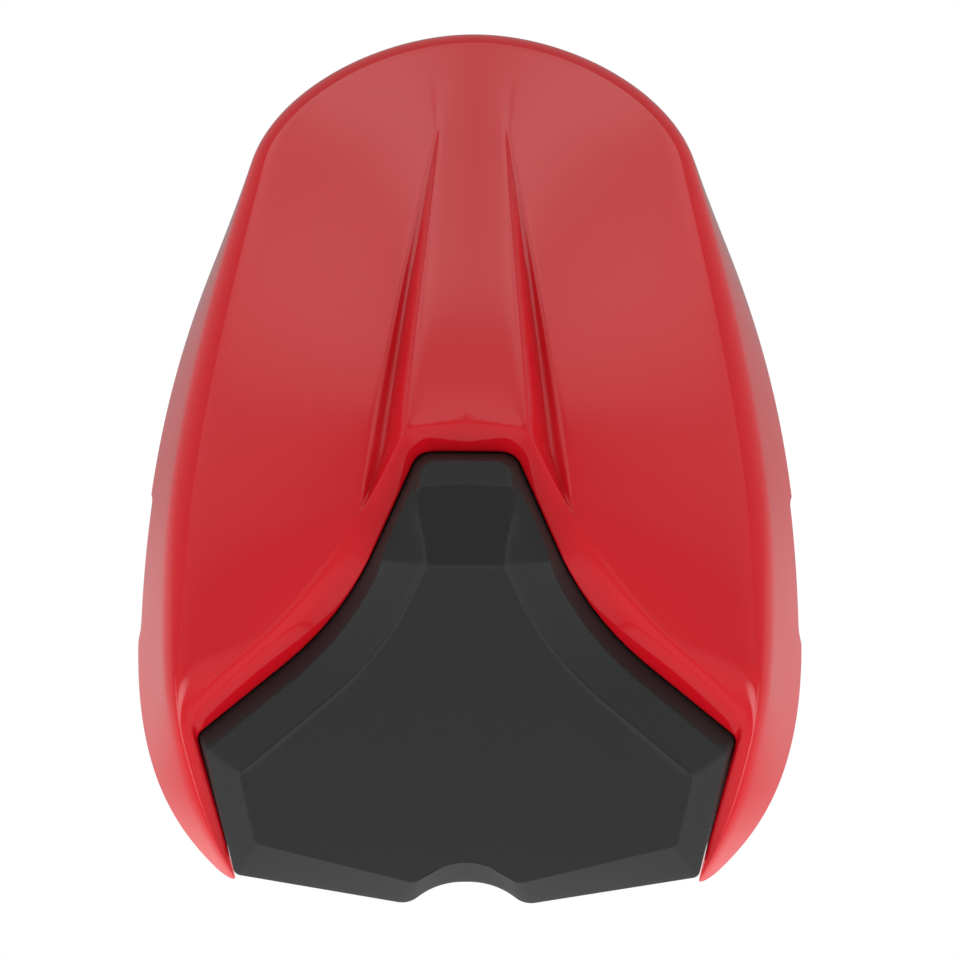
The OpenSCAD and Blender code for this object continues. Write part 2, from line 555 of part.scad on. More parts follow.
// Painted shell
module cowl_shell() color(red) placed()
    polyhedron(concat(shell_points, mirrored(shell_points)),
        concat(shell_faces, shifted(flipped(shell_faces), len(shell_points))));

// Foam pad with its covering
module rest_pad() color(rubber) placed()
    polyhedron(concat(pad_points, mirrored(pad_points)),
        concat(pad_faces, shifted(flipped(pad_faces), len(pad_points))));

// Plate that the pad is glued to; its upper edges bear on the return wall
plate_s = [22, fold_a, mix(fold_a, fold_b, 0.33), mix(fold_a, fold_b, 0.67), fold_b, open_s + 1];
plate_n = -(pad_deep + plate_gap);
function plate_plan(x, s) = [x, on_face(0, s, plate_n - plate_t / 2).y];
plate_right = [plate_plan(tip.x - 16, plate_s[0]), plate_plan(open_w / 2 - 7, open_corner_s - 5),
    plate_plan(mix(open_w, open_mid_w, 0.45) / 2, mix(open_corner_s, open_mid_s, 0.45)),
    plate_plan(open_mid_w / 2 + 2.5, open_mid_s + 1), plate_plan(open_top_w / 2 + 1, open_s)];
module pad_plate() color(black) placed() difference() {
    intersection() {
        rotate([90, 0, 90]) linear_extrude(open_w, center = true)
            polygon(strip([for (s = plate_s) side_of(on_face(0, s, plate_n - plate_t))], plate_t));
        linear_extrude(shell_z)
            polygon(concat(plate_right, [for (i = [len(plate_right) - 1:-1:0]) [-plate_right[i].x, plate_right[i].y]]));
    }
    both_sides() at_stay_hole() translate([0, 0, -30]) cylinder(d = screw_d + 2 * hole_gap, h = 60);
}
module at_stay_hole() translate(on_face(stay_span / 2, stay_hole_s, stay_n - stay_t)) rotate([face_slope, 0, 0]) children();

// Bent strips that hold the pad plate up against the shell
module stay() difference() {
    translate([stay_span / 2, 0, 0]) rotate([90, 0, 90]) linear_extrude(stay_w, center = true)
        polygon(strip(rounded([[stay_low.x + stay_foot, tray_top, 0], [stay_low.x, tray_top, stay_t + 0.5],
            [stay_low.x, stay_low.y, 2], [stay_high.x, stay_high.y, 0]], 4), -stay_t));
    at_stay_hole() hole(screw_d);
    translate([stay_span / 2, stay_bolt_y, tray_top]) hole(bolt_d);
}
module stay_right() color(zinc) placed() stay();
module stay_left() color(zinc) placed() mirror([1, 0, 0]) stay();
module stay_screws() color(steel) placed() both_sides() at_stay_hole() screw(screw_d, stay_t + plate_t);
module stay_bolts() color(steel) placed()
    for (p = stay_bolt_places) translate([p.x, p.y, tray_z]) screw(bolt_d, tray_t + stay_t + nut_h * bolt_d + 1);
module stay_nuts() color(zinc) placed()
    for (p = stay_bolt_places) translate([p.x, p.y, tray_top + stay_t]) nut(bolt_d);

// Ribbed tray that closes the shell underneath
tray_v = [for (k = [0:28]) mix(0.3, 3, k / 28)];
function tray_side(d) = [for (v = tray_v) inset(v, tray_top, wall_across + d)];
module tray_outline(d) let (p = tray_side(d), n = len(p) - 1) intersection() {
    polygon(concat([for (q = p) q], [for (i = [n - 1:-1:0]) [-p[i].x, p[i].y]]));
    translate([-shell_w, tray_y + d - tray_gap]) square([2 * shell_w, 2 * rim_rear]);
}
rib_inset = 22;
module ribs() intersection() {
    linear_extrude(shell_z) tray_outline(rib_inset);
    union() {
        for (x = [-1, 1] * buffer_span / 2, k = [-1, 1])
            translate([x + k * (buffer_d / 2 + 8) - rib_t / 2, tray_y, tray_z - rib_deep]) cube([rib_t, rim_rear, rib_deep]);
        for (k = [-0.22, 0.26, 0.76, 1.22])
            translate([-half_w, buffer_y + k * buffer_pitch, tray_z - rib_deep]) cube([shell_w, rib_t, rib_deep]);
    }
}
module base_tray() color(black) placed() difference() {
    union() {
        translate([0, 0, tray_z]) linear_extrude(tray_t) tray_outline(tray_gap);
        ribs();
    }
    at_blocks() hole(screw_d);
    for (p = concat(bracket_bolt_places, stay_bolt_places)) translate([p.x, p.y, tray_z]) hole(bolt_d);
    for (p = rivet_places) translate([p.x, p.y, tray_z]) hole(rivet_d);
    for (p = buffers) translate([p.x, p.y, tray_z]) hole(stem_d);
    translate([lock.x, lock.y, tray_z]) hole(0.8 * stud_d);
}

// Blocks bonded inside the flanks
module block(v) let (n = inward(v, tray_top), p = block_at(v, 0),
    lean = norm(inset(v, tray_top + block_h, 0) - inset(v, tray_top, 0)))
    difference() {
        translate([p.x, p.y, 0]) rotate([90, 0, atan2(n.y, n.x)]) linear_extrude(block_w, center = true)
            polygon([[0, tray_top], [block_in, tray_top], [block_in, tray_top + block_h], [lean, tray_top + block_h]]);
        translate([screw_at(v).x, screw_at(v).y, tray_top - 1])
            cylinder(d = screw_d + 2 * hole_gap, h = screw_len - washer_t - tray_t + 1.8);
    }
module boss_blocks() color(black) placed() both_sides() for (v = block_v) block(v);
module tray_washers() color(zinc) placed() at_blocks() translate([0, 0, tray_z - washer_t]) washer(screw_d, washer_t);
module tray_screws() color(steel) placed() at_blocks() translate([0, 0, tray_z - washer_t]) screw(screw_d, screw_len);

// Tongue that hooks under the frame in front
module front_tongue() color(zinc) placed() difference() {
    rotate([90, 0, 90]) linear_extrude(tongue_w, center = true)
        polygon(strip(rounded([[tray_y + tongue_lap, tray_z, 0], [tray_y + 3, tray_z, 4],
            [tray_y - 4, tongue_z, 4], [tray_y - 4 - tongue_end, tongue_z, 0]], 4), tongue_t));
    for (p = rivet_places) translate([p.x, p.y, tray_z]) hole(rivet_d);
}
module rivet(d, length) rotate_extrude() polygon(concat([[0, -1.5], [d, -1.5], [d, 0], [d / 2, 0], [d / 2, length],
    [0.9 * d, length], [0.9 * d, length + 1], [0, length + 1]]));
module tongue_rivets() color(steel) placed()
    for (p = rivet_places) translate([p.x, p.y, tray_z - tongue_t]) rivet(rivet_d, tongue_t + tray_t);

// Lock: channel bracket, stud with a latch neck, washer and nut above the tray
flange_h = 8;
module lock_bracket() color(zinc) placed() difference() {
    translate([lock.x, lock.y + bracket_w / 2, tray_z]) rotate([90, 0, 0]) linear_extrude(bracket_w)
        polygon(strip(rounded([[bracket_w / 2, -flange_h, 0], [bracket_w / 2, 0, bracket_t + 1],
            [-bracket_w / 2, 0, bracket_t + 1], [-bracket_w / 2, -flange_h, 0]], 5), bracket_t));
    for (p = bracket_bolt_places) translate([p.x, p.y, tray_z]) hole(bolt_d);
    translate([lock.x, lock.y, tray_z]) hole(0.8 * stud_d);
}
module bracket_bolts() color(steel) placed() for (p = bracket_bolt_places)
    translate([p.x, p.y, tray_z - bracket_t]) screw(bolt_d, bracket_t + tray_t + nut_h * bolt_d + 1);
module bracket_nuts() color(zinc) placed()
    for (p = bracket_bolt_places) translate([p.x, p.y, tray_top]) nut(bolt_d);
collar_h = 2.5;
stud_nut_h = nut_h * 0.8 * stud_d;
module lock_stud() color(steel) placed() translate([lock.x, lock.y, 0]) rotate_extrude()
    let (r = stud_d / 2, seat = tray_z - bracket_t, neck = stud_low + stud_head)
    polygon([[0, stud_low], [r, stud_low], [r, neck], [neck_d / 2, neck], [neck_d / 2, neck + neck_len],
        [r, neck + neck_len], [r, seat - collar_h], [1.6 * r, seat - collar_h], [1.6 * r, seat], [0.8 * r, seat],
        [0.8 * r, tray_top + washer_t + stud_nut_h + 1.5], [0, tray_top + washer_t + stud_nut_h + 1.5]]);
module stud_washer() color(zinc) placed() translate([lock.x, lock.y, tray_top]) washer(0.8 * stud_d, washer_t);
module stud_nut() color(zinc) placed() translate([lock.x, lock.y, tray_top + washer_t]) nut(0.8 * stud_d);

// Rubber buffers held by their own stems in the tray
module buffer(k) color(rubber) placed() translate([buffers[k].x, buffers[k].y, 0]) rotate_extrude()
    let (r = buffer_d / 2, low = tray_z - buffer_h)
    polygon([[0, low], [r - 2, low], [r, low + 3], [r, tray_z], [stem_d / 2, tray_z], [stem_d / 2, tray_top],
        [0.75 * stem_d, tray_top], [0.45 * stem_d, tray_top + 4], [0, tray_top + 4]]);
module buffer_front_left() buffer(0);
module buffer_rear_left() buffer(1);
module buffer_front_right() buffer(2);
module buffer_rear_right() buffer(3);

cowl_shell();
rest_pad();
pad_plate();
stay_left();
stay_right();
stay_screws();
stay_bolts();
stay_nuts();
base_tray();
boss_blocks();
tray_screws();
tray_washers();
front_tongue();
tongue_rivets();
lock_bracket();
bracket_bolts();
bracket_nuts();
lock_stud();
stud_washer();
stud_nut();
buffer_front_left();
buffer_front_right();
buffer_rear_left();
buffer_rear_right();
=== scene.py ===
"""Looks of a single-seat tail cowl of a motorcycle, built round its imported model.

Sizes are in millimetres in the cowl's own drawing frame (widest place of the rim near y = -31) and are
turned into metres in the shared frame when a mesh is finished.
"""
import json
import logging
import math
from dataclasses import dataclass
from enum import Enum
from typing import Callable, Iterable, Sequence

import bmesh
import bpy
import numpy as np
from mathutils import Matrix, Vector

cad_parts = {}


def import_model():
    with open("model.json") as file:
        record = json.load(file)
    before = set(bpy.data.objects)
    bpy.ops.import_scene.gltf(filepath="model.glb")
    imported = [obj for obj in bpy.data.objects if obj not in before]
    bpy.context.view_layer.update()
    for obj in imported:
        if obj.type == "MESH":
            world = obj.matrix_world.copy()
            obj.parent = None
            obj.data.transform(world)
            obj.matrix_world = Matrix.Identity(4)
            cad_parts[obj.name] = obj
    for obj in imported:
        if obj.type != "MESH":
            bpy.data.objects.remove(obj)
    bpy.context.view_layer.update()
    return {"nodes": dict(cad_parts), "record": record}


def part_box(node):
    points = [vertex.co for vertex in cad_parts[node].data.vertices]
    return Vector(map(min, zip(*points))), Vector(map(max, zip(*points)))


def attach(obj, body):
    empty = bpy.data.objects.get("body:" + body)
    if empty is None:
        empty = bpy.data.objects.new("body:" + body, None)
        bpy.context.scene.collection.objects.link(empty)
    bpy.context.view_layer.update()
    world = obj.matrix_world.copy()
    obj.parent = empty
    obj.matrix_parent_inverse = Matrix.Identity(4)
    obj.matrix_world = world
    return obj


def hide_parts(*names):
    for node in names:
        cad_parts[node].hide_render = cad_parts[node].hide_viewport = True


LOG = logging.getLogger("cowl")
MM = 0.001
BODY = "root"
SHELL_NODE = "cowl_shell"
PAD_NODE = "rest_pad"
IMAGE_PX = 960
SHARP_DEG = 60.0
MERGE_MM = 0.02
WHITE = (1.0, 1.0, 1.0, 1.0)

Point = tuple[float, float, float]
Pairs = tuple[tuple[float, float], ...]
Value = float | np.ndarray
Socket = bpy.types.NodeSocket


def mix(a: Value, b: Value, t: float) -> Value:
    """Value a share t of the way from a to b."""
    return a + (b - a) * t


def ease(t: float) -> float:
    """Step that eases in and out between 0 and 1."""
    c = min(max(t, 0.0), 1.0)
    return c * c * (3.0 - 2.0 * c)


def unit(v: np.ndarray) -> np.ndarray:
    """Vector of length one along v."""
    return v / max(float(np.linalg.norm(v)), 1e-9)


def soft_min(a: float, b: float, reach: float) -> float:
    """Smaller of two values with the crossing rounded off.

    Args:
        a: first value.
        b: second value.
        reach: difference over which the crossing is rounded.

    Returns:
        The rounded minimum.
    """
    return min(a, b) - max(reach - abs(a - b), 0.0) ** 2 / (4.0 * reach)


def cubic(p: Sequence, t: float) -> np.ndarray:
    """Point at t on the cubic curve with four control points."""
    a, b, c, d = (np.array(q, dtype=float) for q in p)
    return (1 - t) ** 3 * a + 3 * t * (1 - t) ** 2 * b + 3 * t * t * (1 - t) * c + t ** 3 * d


def bend(a: np.ndarray, b: np.ndarray, c: np.ndarray, t: float) -> np.ndarray:
    """Point at t on the curve from a to c that is drawn towards b."""
    return (1 - t) ** 2 * a + 2 * t * (1 - t) * b + t * t * c


def table(x: float, pairs: Sequence[tuple[float, float]]) -> float:
    """Value at x of a line through pairs whose first members rise."""
    return float(np.interp(x, [p[0] for p in pairs], [p[1] for p in pairs]))


def rounded(keys: Sequence[Point], steps: int) -> np.ndarray:
    """Path through keys with its corners rounded.

    Args:
        keys: x, y and corner radius of each key.
        steps: pieces in each rounded corner.

    Returns:
        The points of the path.
    """
    out: list[np.ndarray] = []
    for i, (x, y, radius) in enumerate(keys):
        here = np.array([x, y], dtype=float)
        if i in (0, len(keys) - 1) or radius == 0:
            out.append(here)
            continue
        u = unit(np.array(keys[i - 1][:2]) - here)
        w = unit(np.array(keys[i + 1][:2]) - here)
        half = math.acos(float(np.clip(u @ w, -1, 1))) / 2
        reach = radius / math.tan(half)
        centre = here + unit(u + w) * radius / math.sin(half)
        for k in range(steps + 1):
            out.append(centre + unit(mix(here + u * reach, here + w * reach, k / steps) - centre) * radius)
    return np.array(out)


class Path:
    """A path that is read by the length along it."""

    def __init__(self, points: np.ndarray) -> None:
        """Keeps the points and their running length."""
        self.points = points
        self.lengths = np.concatenate([[0.0], np.cumsum(np.linalg.norm(np.diff(points, axis=0), axis=1))])
        self.total = float(self.lengths[-1])

    def at(self, length: float) -> np.ndarray:
        """Point at a length along the path."""
        return np.array([np.interp(length, self.lengths, column) for column in self.points.T])


@dataclass
class CowlForm:
    """Driving sizes of the cowl and the curves and heights that follow from them, in millimetres."""

    shell_w: float = 243.0
    rim_rear: float = 239.0
    rim_front: float = 101.0
    tip_w: float = 168.0
    side_lean: float = 16.5
    tail_lean: float = 9.0
    flank_bulge: float = 0.3
    bulge_full: float = 40.0
    shoulder_round: float = 12.0
    relief_deep: float = 6.0
    relief_front: float = 9.0
    relief_rear: float = 51.0
    relief_end: float = 4.0
    tip_z: float = 3.0
    shoulder_z: float = 62.0
    tail_z: float = 43.5
    hump_z: float = 118.0
    hump_round: float = 80.0
    hump_y: float = -15.0
    crown_c: float = 0.35
    spine_rise: float = 5.0
    spine_w: float = 41.0
    spine_tail_w: float = 20.5
    spine_len: float = 172.0
    spine_edge: float = 0.6
    spine_fade: float = 24.0
    spine_fade_early: float = 8.0
    spine_sink: float = 6.0
    groove_len: float = 175.0
    groove_w: float = 73.0
    groove_deep: float = 3.0
    groove_start: float = 18.0
    groove_fade_y: float = 20.0
    groove_end_w: float = 2.2
    groove_spread: float = 0.15
    valley_share: float = 0.36
    face_slope: float = 50.0
    top_slope: float = 24.0
    fold_s: float = 126.6
    fold_r: float = 16.0
    open_s: float = 162.0
    open_w: float = 188.0
    open_corner_s: float = 57.0
    open_mid_w: float = 86.6
    open_mid_s: float = 102.0
    open_top_w: float = 33.0
    open_top_r: float = 7.0
    brow: float = 5.0
    band_w: float = 8.5
    return_deep: float = 8.0
    wide_y: float = -31.0
    shoulder_top_y: float = -10.0
    front_blend: float = 14.0
    hump_foot: float = 20.0
    hump_foot_y: float = -93.0
    hump_foot_rise: float = 1.1
    hump_blend: float = 30.0
    corner_steps: int = 24
    ridge_samples: int = 1500

    def __post_init__(self) -> None:
        """Works out the plan curves, the side profile and the paths round the opening."""
        self.half_w = self.shell_w / 2
        self.tip = np.array([self.tip_w / 2, self.wide_y - self.rim_front])
        self.tail_y = self.wide_y + self.rim_rear
        self.ridge_w = self.half_w - self.side_lean
        self.ridge_tail = self.tail_y - self.tail_lean
        self._plan_curves()
        self._side_profile()
        self._opening_paths()
        samples = [self.ridge(v) for v in np.linspace(0, 3, self.ridge_samples)]
        self.ridge_y = np.array([p[1] for p in samples])
        self.ridge_x = np.array([p[0] for p in samples])
        span = (self.ridge_tail - self.hump_y) / self.hump_round
        self.hump_k = (self.hump_z - self.tail_z) / (math.sqrt(1 + span * span) - 1)

    def _plan_curves(self) -> None:
        """Plan of the rim and of the shoulder: front, side and round, from a tip to the tail."""
        half, wide, front, rear, tip = self.half_w, self.wide_y, self.rim_front, self.rim_rear, self.tip
        joint = (0.746 * half, wide + 0.748 * rear)
        self.rim_curves = (
            (tip, (mix(tip[0], half, 0.576), wide - 0.811 * front),
             (half, wide - 0.57 * front), (half, wide)),
            ((half, wide), (half, wide + 0.31 * rear), (0.911 * half, wide + 0.514 * rear), joint),
            (joint, (0.66 * half, wide + 0.912 * rear), (0.354 * half, self.tail_y), (0, self.tail_y)))
        ridge, back = self.ridge_w, self.ridge_tail - wide
        joint = (0.7805 * ridge, wide + 0.728 * back)
        self.ridge_curves = (
            (tip + [-1, 0.5], (ridge - 0.6, wide - 0.752 * front),
             (ridge, wide - 0.436 * front), (ridge, wide)),
            ((ridge, wide), (ridge, wide + 0.24 * back), (0.84 * ridge, wide + 0.5625 * back), joint),
            (joint, (0.7265 * ridge, wide + 0.861 * back),
             (0.3615 * ridge, self.ridge_tail), (0, self.ridge_tail)))

    def _side_profile(self) -> None:
        """Straight, arc and straight of the opening's slope, by the distance s up it."""
        half = self.fold_r * math.radians(self.face_slope - self.top_slope) / 2
        self.fold_a = self.fold_s - half
        self.fold_b = self.fold_s + half

    def _opening_paths(self) -> None:
        """Edge of the opening in x and s, and crest of the band round it in plan."""
        self.lip_keys = [(self.tip[0] - 2, 0.5, 0),
                         (self.open_w / 2, self.open_corner_s, 4),
                         (self.open_mid_w / 2, self.open_mid_s, 120),
                         (self.open_top_w / 2, self.open_s, self.open_top_r),
                         (0, self.open_s, 0)]
        self.lip = Path(rounded(self.lip_keys, self.corner_steps))
        self.spine_y = self.base(self.open_s)[0] + self.brow
        mid = np.array([self.open_mid_w / 2, self.base(self.open_mid_s)[0]])
        corner = np.array([self.open_w / 2, self.base(self.open_corner_s)[0]])
        crest_keys = [(self.tip[0] - 1.5, self.tip[1] + 0.4, 0),
                      (corner[0] + 0.32 * self.band_w, corner[1] + 0.49 * self.band_w, 4),
                      (mid[0] + 0.62 * self.band_w, mid[1] + 0.74 * self.band_w, 110),
                      (self.spine_w / 2, self.spine_y, 1), (0, self.spine_y + 2.5, 0)]
        self.crest = Path(rounded(crest_keys, self.corner_steps))
        self.crest_turn = float(np.linalg.norm(np.subtract(crest_keys[1][:2], crest_keys[0][:2])))
        self.crest_spine = self.crest.total - math.hypot(self.spine_w / 2, 2.5)
        upper = self.crest.points[self.crest.points[:, 1] > corner[1] + 6]
        self.crest_upper = upper
        tip_y = float(np.interp(self.groove_w / 2, upper[::-1, 0], upper[::-1, 1]))
        self.groove_tip = np.array([self.groove_w / 2, tip_y])
        self.groove_end = tip_y + self.groove_len
        self.spine_end = self.spine_y + self.spine_len
        share = (self.groove_end - self.spine_y) / self.spine_len
        self.edge_at_end = mix(self.spine_w, self.spine_tail_w, share) / 2

    def rim(self, v: float) -> np.ndarray:
        """Rim in plan at v from 0 at a tip to 3 at the tail."""
        k = min(int(v), 2)
        return cubic(self.rim_curves[k], v - k)

    def ridge(self, v: float) -> np.ndarray:
        """Shoulder in plan at v from 0 at a tip to 3 at the tail."""
        k = min(int(v), 2)
        return cubic(self.ridge_curves[k], v - k)

    def slope(self, s: float) -> float:
        """Slope of the opening in radians at s."""
        turn = math.degrees((s - self.fold_a) / self.fold_r)
        return math.radians(self.face_slope - min(max(turn, 0.0), self.face_slope - self.top_slope))

    def base(self, s: float) -> np.ndarray:
        """Side profile of the opening: straight, round over the fold and straight.

        Args:
            s: distance up it.

        Returns:
            The place in y and z.
        """
        a, g = math.radians(self.face_slope), self.slope(s)
        low = np.array([self.tip[1], self.tip_z]) + min(s, self.fold_a) * np.array([math.cos(a), math.sin(a)])
        if s < self.fold_a:
            return low
        arc = self.fold_r * np.array([math.sin(a) - math.sin(g), math.cos(g) - math.cos(a)])
        return low + arc + max(s - self.fold_b, 0.0) * np.array([math.cos(g), math.sin(g)])

    def on_face(self, x: float, s: float, n: float) -> np.ndarray:
        """Point over the opening's slope.

        Args:
            x: distance across.
            s: distance up the slope.
            n: distance out of it.

        Returns:
            The point.
        """
        y, z = self.base(s)
        g = self.slope(s)
        return np.array([x, y - n * math.sin(g), z + n * math.cos(g)])

    def ridge_half(self, y: float) -> float:
        """Half width over the shoulder at y."""
        return max(float(np.interp(y, self.ridge_y, self.ridge_x)), 0.01)

    def shoulder(self, y: float) -> float:
        """Height of the shoulder at y: up the slope of the opening, then falling to the tail."""
        front = self.tip_z + 1.5 + (y - self.tip[1]) * math.tan(math.radians(self.face_slope))
        fall = max((y - self.shoulder_top_y) / (self.ridge_tail - self.shoulder_top_y), 0.0) ** 2
        return soft_min(front, mix(self.shoulder_z, self.tail_z, fall), self.front_blend)

    def hump(self, y: float) -> float:
        """Height of the middle of the back at y, without the spine."""
        run = max(y - self.hump_y, 0.0) / self.hump_round
        return self.hump_z - self.hump_k * (math.sqrt(1 + run * run) - 1)

    def crown(self, q: float) -> float:
        """Cross section of the back: 1 in the middle, 0 at the shoulder."""
        c = self.crown_c
        return 1 - (math.sqrt(q * q + c * c) - c) / (math.sqrt(1 + c * c) - c)

    def body(self, x: float, y: float) -> float:
        """Height of the back without spine and grooves.

        Args:
            x: distance across.
            y: place along the cowl.

        Returns:
            The height.
        """
        low = self.shoulder(y)
        foot = self.hump_foot + self.hump_foot_rise * (y - self.hump_foot_y)
        rise = soft_min(self.hump(y) - low, foot, self.hump_blend)
        return low + rise * self.crown(min(abs(x) / self.ridge_half(y), 1.0))

    def edge_x(self, y: float) -> float:
        """Half width of the spine at y, or of the band's crest in front of it."""
        if y < self.spine_y:
            return float(np.interp(y, self.crest_upper[:, 1], self.crest_upper[:, 0]))
        return mix(self.spine_w, self.spine_tail_w, (y - self.spine_y) / self.spine_len) / 2

    def outer_x(self, y: float) -> float:
        """Outer border of the groove.

        Args:
            y: place along the cowl.

        Returns:
            Its half width.
        """
        end = self.edge_at_end + self.groove_end_w
        if y < self.groove_end:
            return mix(self.groove_tip[0], end, (y - self.groove_tip[1]) / self.groove_len)
        return self.edge_x(y) + self.groove_end_w + self.groove_spread * (y - self.groove_end)

    def valley_x(self, y: float) -> float:
        """Deepest line of the groove at y."""
        return mix(self.outer_x(y), self.edge_x(y), self.valley_share)

    def groove(self, y: float) -> float:
        """Depth of the groove at y."""
        start = ease((y - self.groove_tip[1] + 1) / self.groove_start)
        gone = ease((y - self.groove_fade_y) / (self.groove_end - self.groove_fade_y))
        return self.groove_deep * start * (1 - gone)

    def spine_top(self, y: float) -> float:
        """Height of the middle of the spine at y."""
        gone = ease((y - self.spine_y) / (self.spine_len + self.spine_sink))
        return self.hump(y) + self.spine_rise * (1 - gone)

    def edge_z(self, y: float) -> float:
        """Height of the spine's border at y; in front of the spine it falls with the band's crest.

        Args:
            y: place along the cowl.

        Returns:
            The height.
        """
        if y >= self.spine_y:
            return self.spine_top(y) - self.spine_edge
        t = min((self.spine_y - y) / (self.spine_y - self.groove_tip[1]), 1.0)
        low = self.body(self.groove_tip[0], self.groove_tip[1])
        return mix(self.spine_top(self.spine_y) - self.spine_edge, low, 1 - (1 - t) ** 1.4)

    def skin(self, x: float, y: float) -> float:
        """Height of the outer skin behind the crest: panel, groove and spine.

        Args:
            x: distance across.
            y: place along the cowl.

        Returns:
            The height.
        """
        plain = self.body(x, y)
        xo, xv, xe = self.outer_x(y), self.valley_x(y), self.edge_x(y)
        if y < self.groove_tip[1] or x >= xo:
            return plain
        side = self.body(xo, y)
        deep = self.groove(y)
        if x >= xv:
            z = side - deep * (xo - x) / max(xo - xv, 0.01)
        elif x >= xe:
            z = mix(side - deep, self.edge_z(y), (xv - x) / max(xv - xe, 0.01))
        else:
            z = mix(self.spine_top(y), self.edge_z(y), (x / xe) ** 2)
        return mix(z, plain, ease((y - self.spine_end + self.spine_fade_early) / self.spine_fade))

    def rim_z(self, y: float) -> float:
        """Height of the lower edge at y."""
        rise = ease((y - self.wide_y + self.relief_front) / self.relief_end)
        return self.relief_deep * rise * ease((self.wide_y + self.relief_rear - y) / self.relief_end)

    def flank(self, v: float, z: float) -> np.ndarray:
        """Point of the flank.

        Args:
            v: place along the rim, 0 at a tip to 3 at the tail.
            z: height.

        Returns:
            The point, which bulges a little out of the straight line from rim to shoulder.
        """
        s2, r2 = self.ridge(v), self.rim(v)
        top = self.shoulder(s2[1])
        q = z / top
        lean = float(np.linalg.norm(s2 - r2))
        puff = self.flank_bulge * 4 * q * (1 - q) * min(math.hypot(lean, top) / self.bulge_full, 1.0)
        xy = mix(r2, s2, q) + unit(r2 - s2) * puff
        return np.array([xy[0], xy[1], z])


def to_metres(form: CowlForm) -> Matrix:
    """Turns the drawing frame's millimetres into metres of the shared frame.

    Args:
        form: sizes of the cowl.

    Returns:
        The matrix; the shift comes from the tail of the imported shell.
    """
    _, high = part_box(SHELL_NODE)
    return Matrix.Translation((0, high[1] - form.tail_y * MM, 0)) @ Matrix.Scale(MM, 4)


def finish_piece(bm: bmesh.types.BMesh, name: str, material: bpy.types.Material) -> bpy.types.Object:
    """Makes an object of a bmesh and lets it ride on the body.

    Args:
        bm: the mesh in metres; it is freed.
        name: name of the piece.
        material: its finish.

    Returns:
        The new object at the origin.
    """
    mesh = bpy.data.meshes.new(name)
    for edge in bm.edges:
        if len(edge.link_faces) == 2:
            edge.smooth = edge.calc_face_angle(0.0) < math.radians(SHARP_DEG)
    for face in bm.faces:
        face.smooth = True
    bm.to_mesh(mesh)
    bm.free()
    piece = bpy.data.objects.new(name, mesh)
    bpy.context.scene.collection.objects.link(piece)
    mesh.materials.append(material)
    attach(piece, BODY)
    LOG.info("%s: %d faces", name, len(mesh.polygons))
    return piece


def grid_from_rows(rows: Sequence[Sequence[np.ndarray]]) -> bmesh.types.BMesh:
    """Grid whose vertices lie on rows of points; rows may be shorter at their end.

    Args:
        rows: points of each row, from its first column on.

    Returns:
        A bmesh in the points' own units.
    """
    wide = max(len(row) for row in rows)
    bm = bmesh.new()
    bmesh.ops.create_grid(bm, x_segments=wide - 1, y_segments=len(rows) - 1, size=1.0)
    bm.verts.ensure_lookup_table()
    order = sorted(bm.verts, key=lambda vert: (round(vert.co.y, 6), round(vert.co.x, 6)))
    spare = []
    for i, row in enumerate(rows):
        for j in range(wide):
            vert = order[i * wide + j]
            if j < len(row):
                vert.co = Vector([float(c) for c in row[j]])
            else:
                spare.append(vert)
    bmesh.ops.delete(bm, geom=spare, context="VERTS")
    return bm


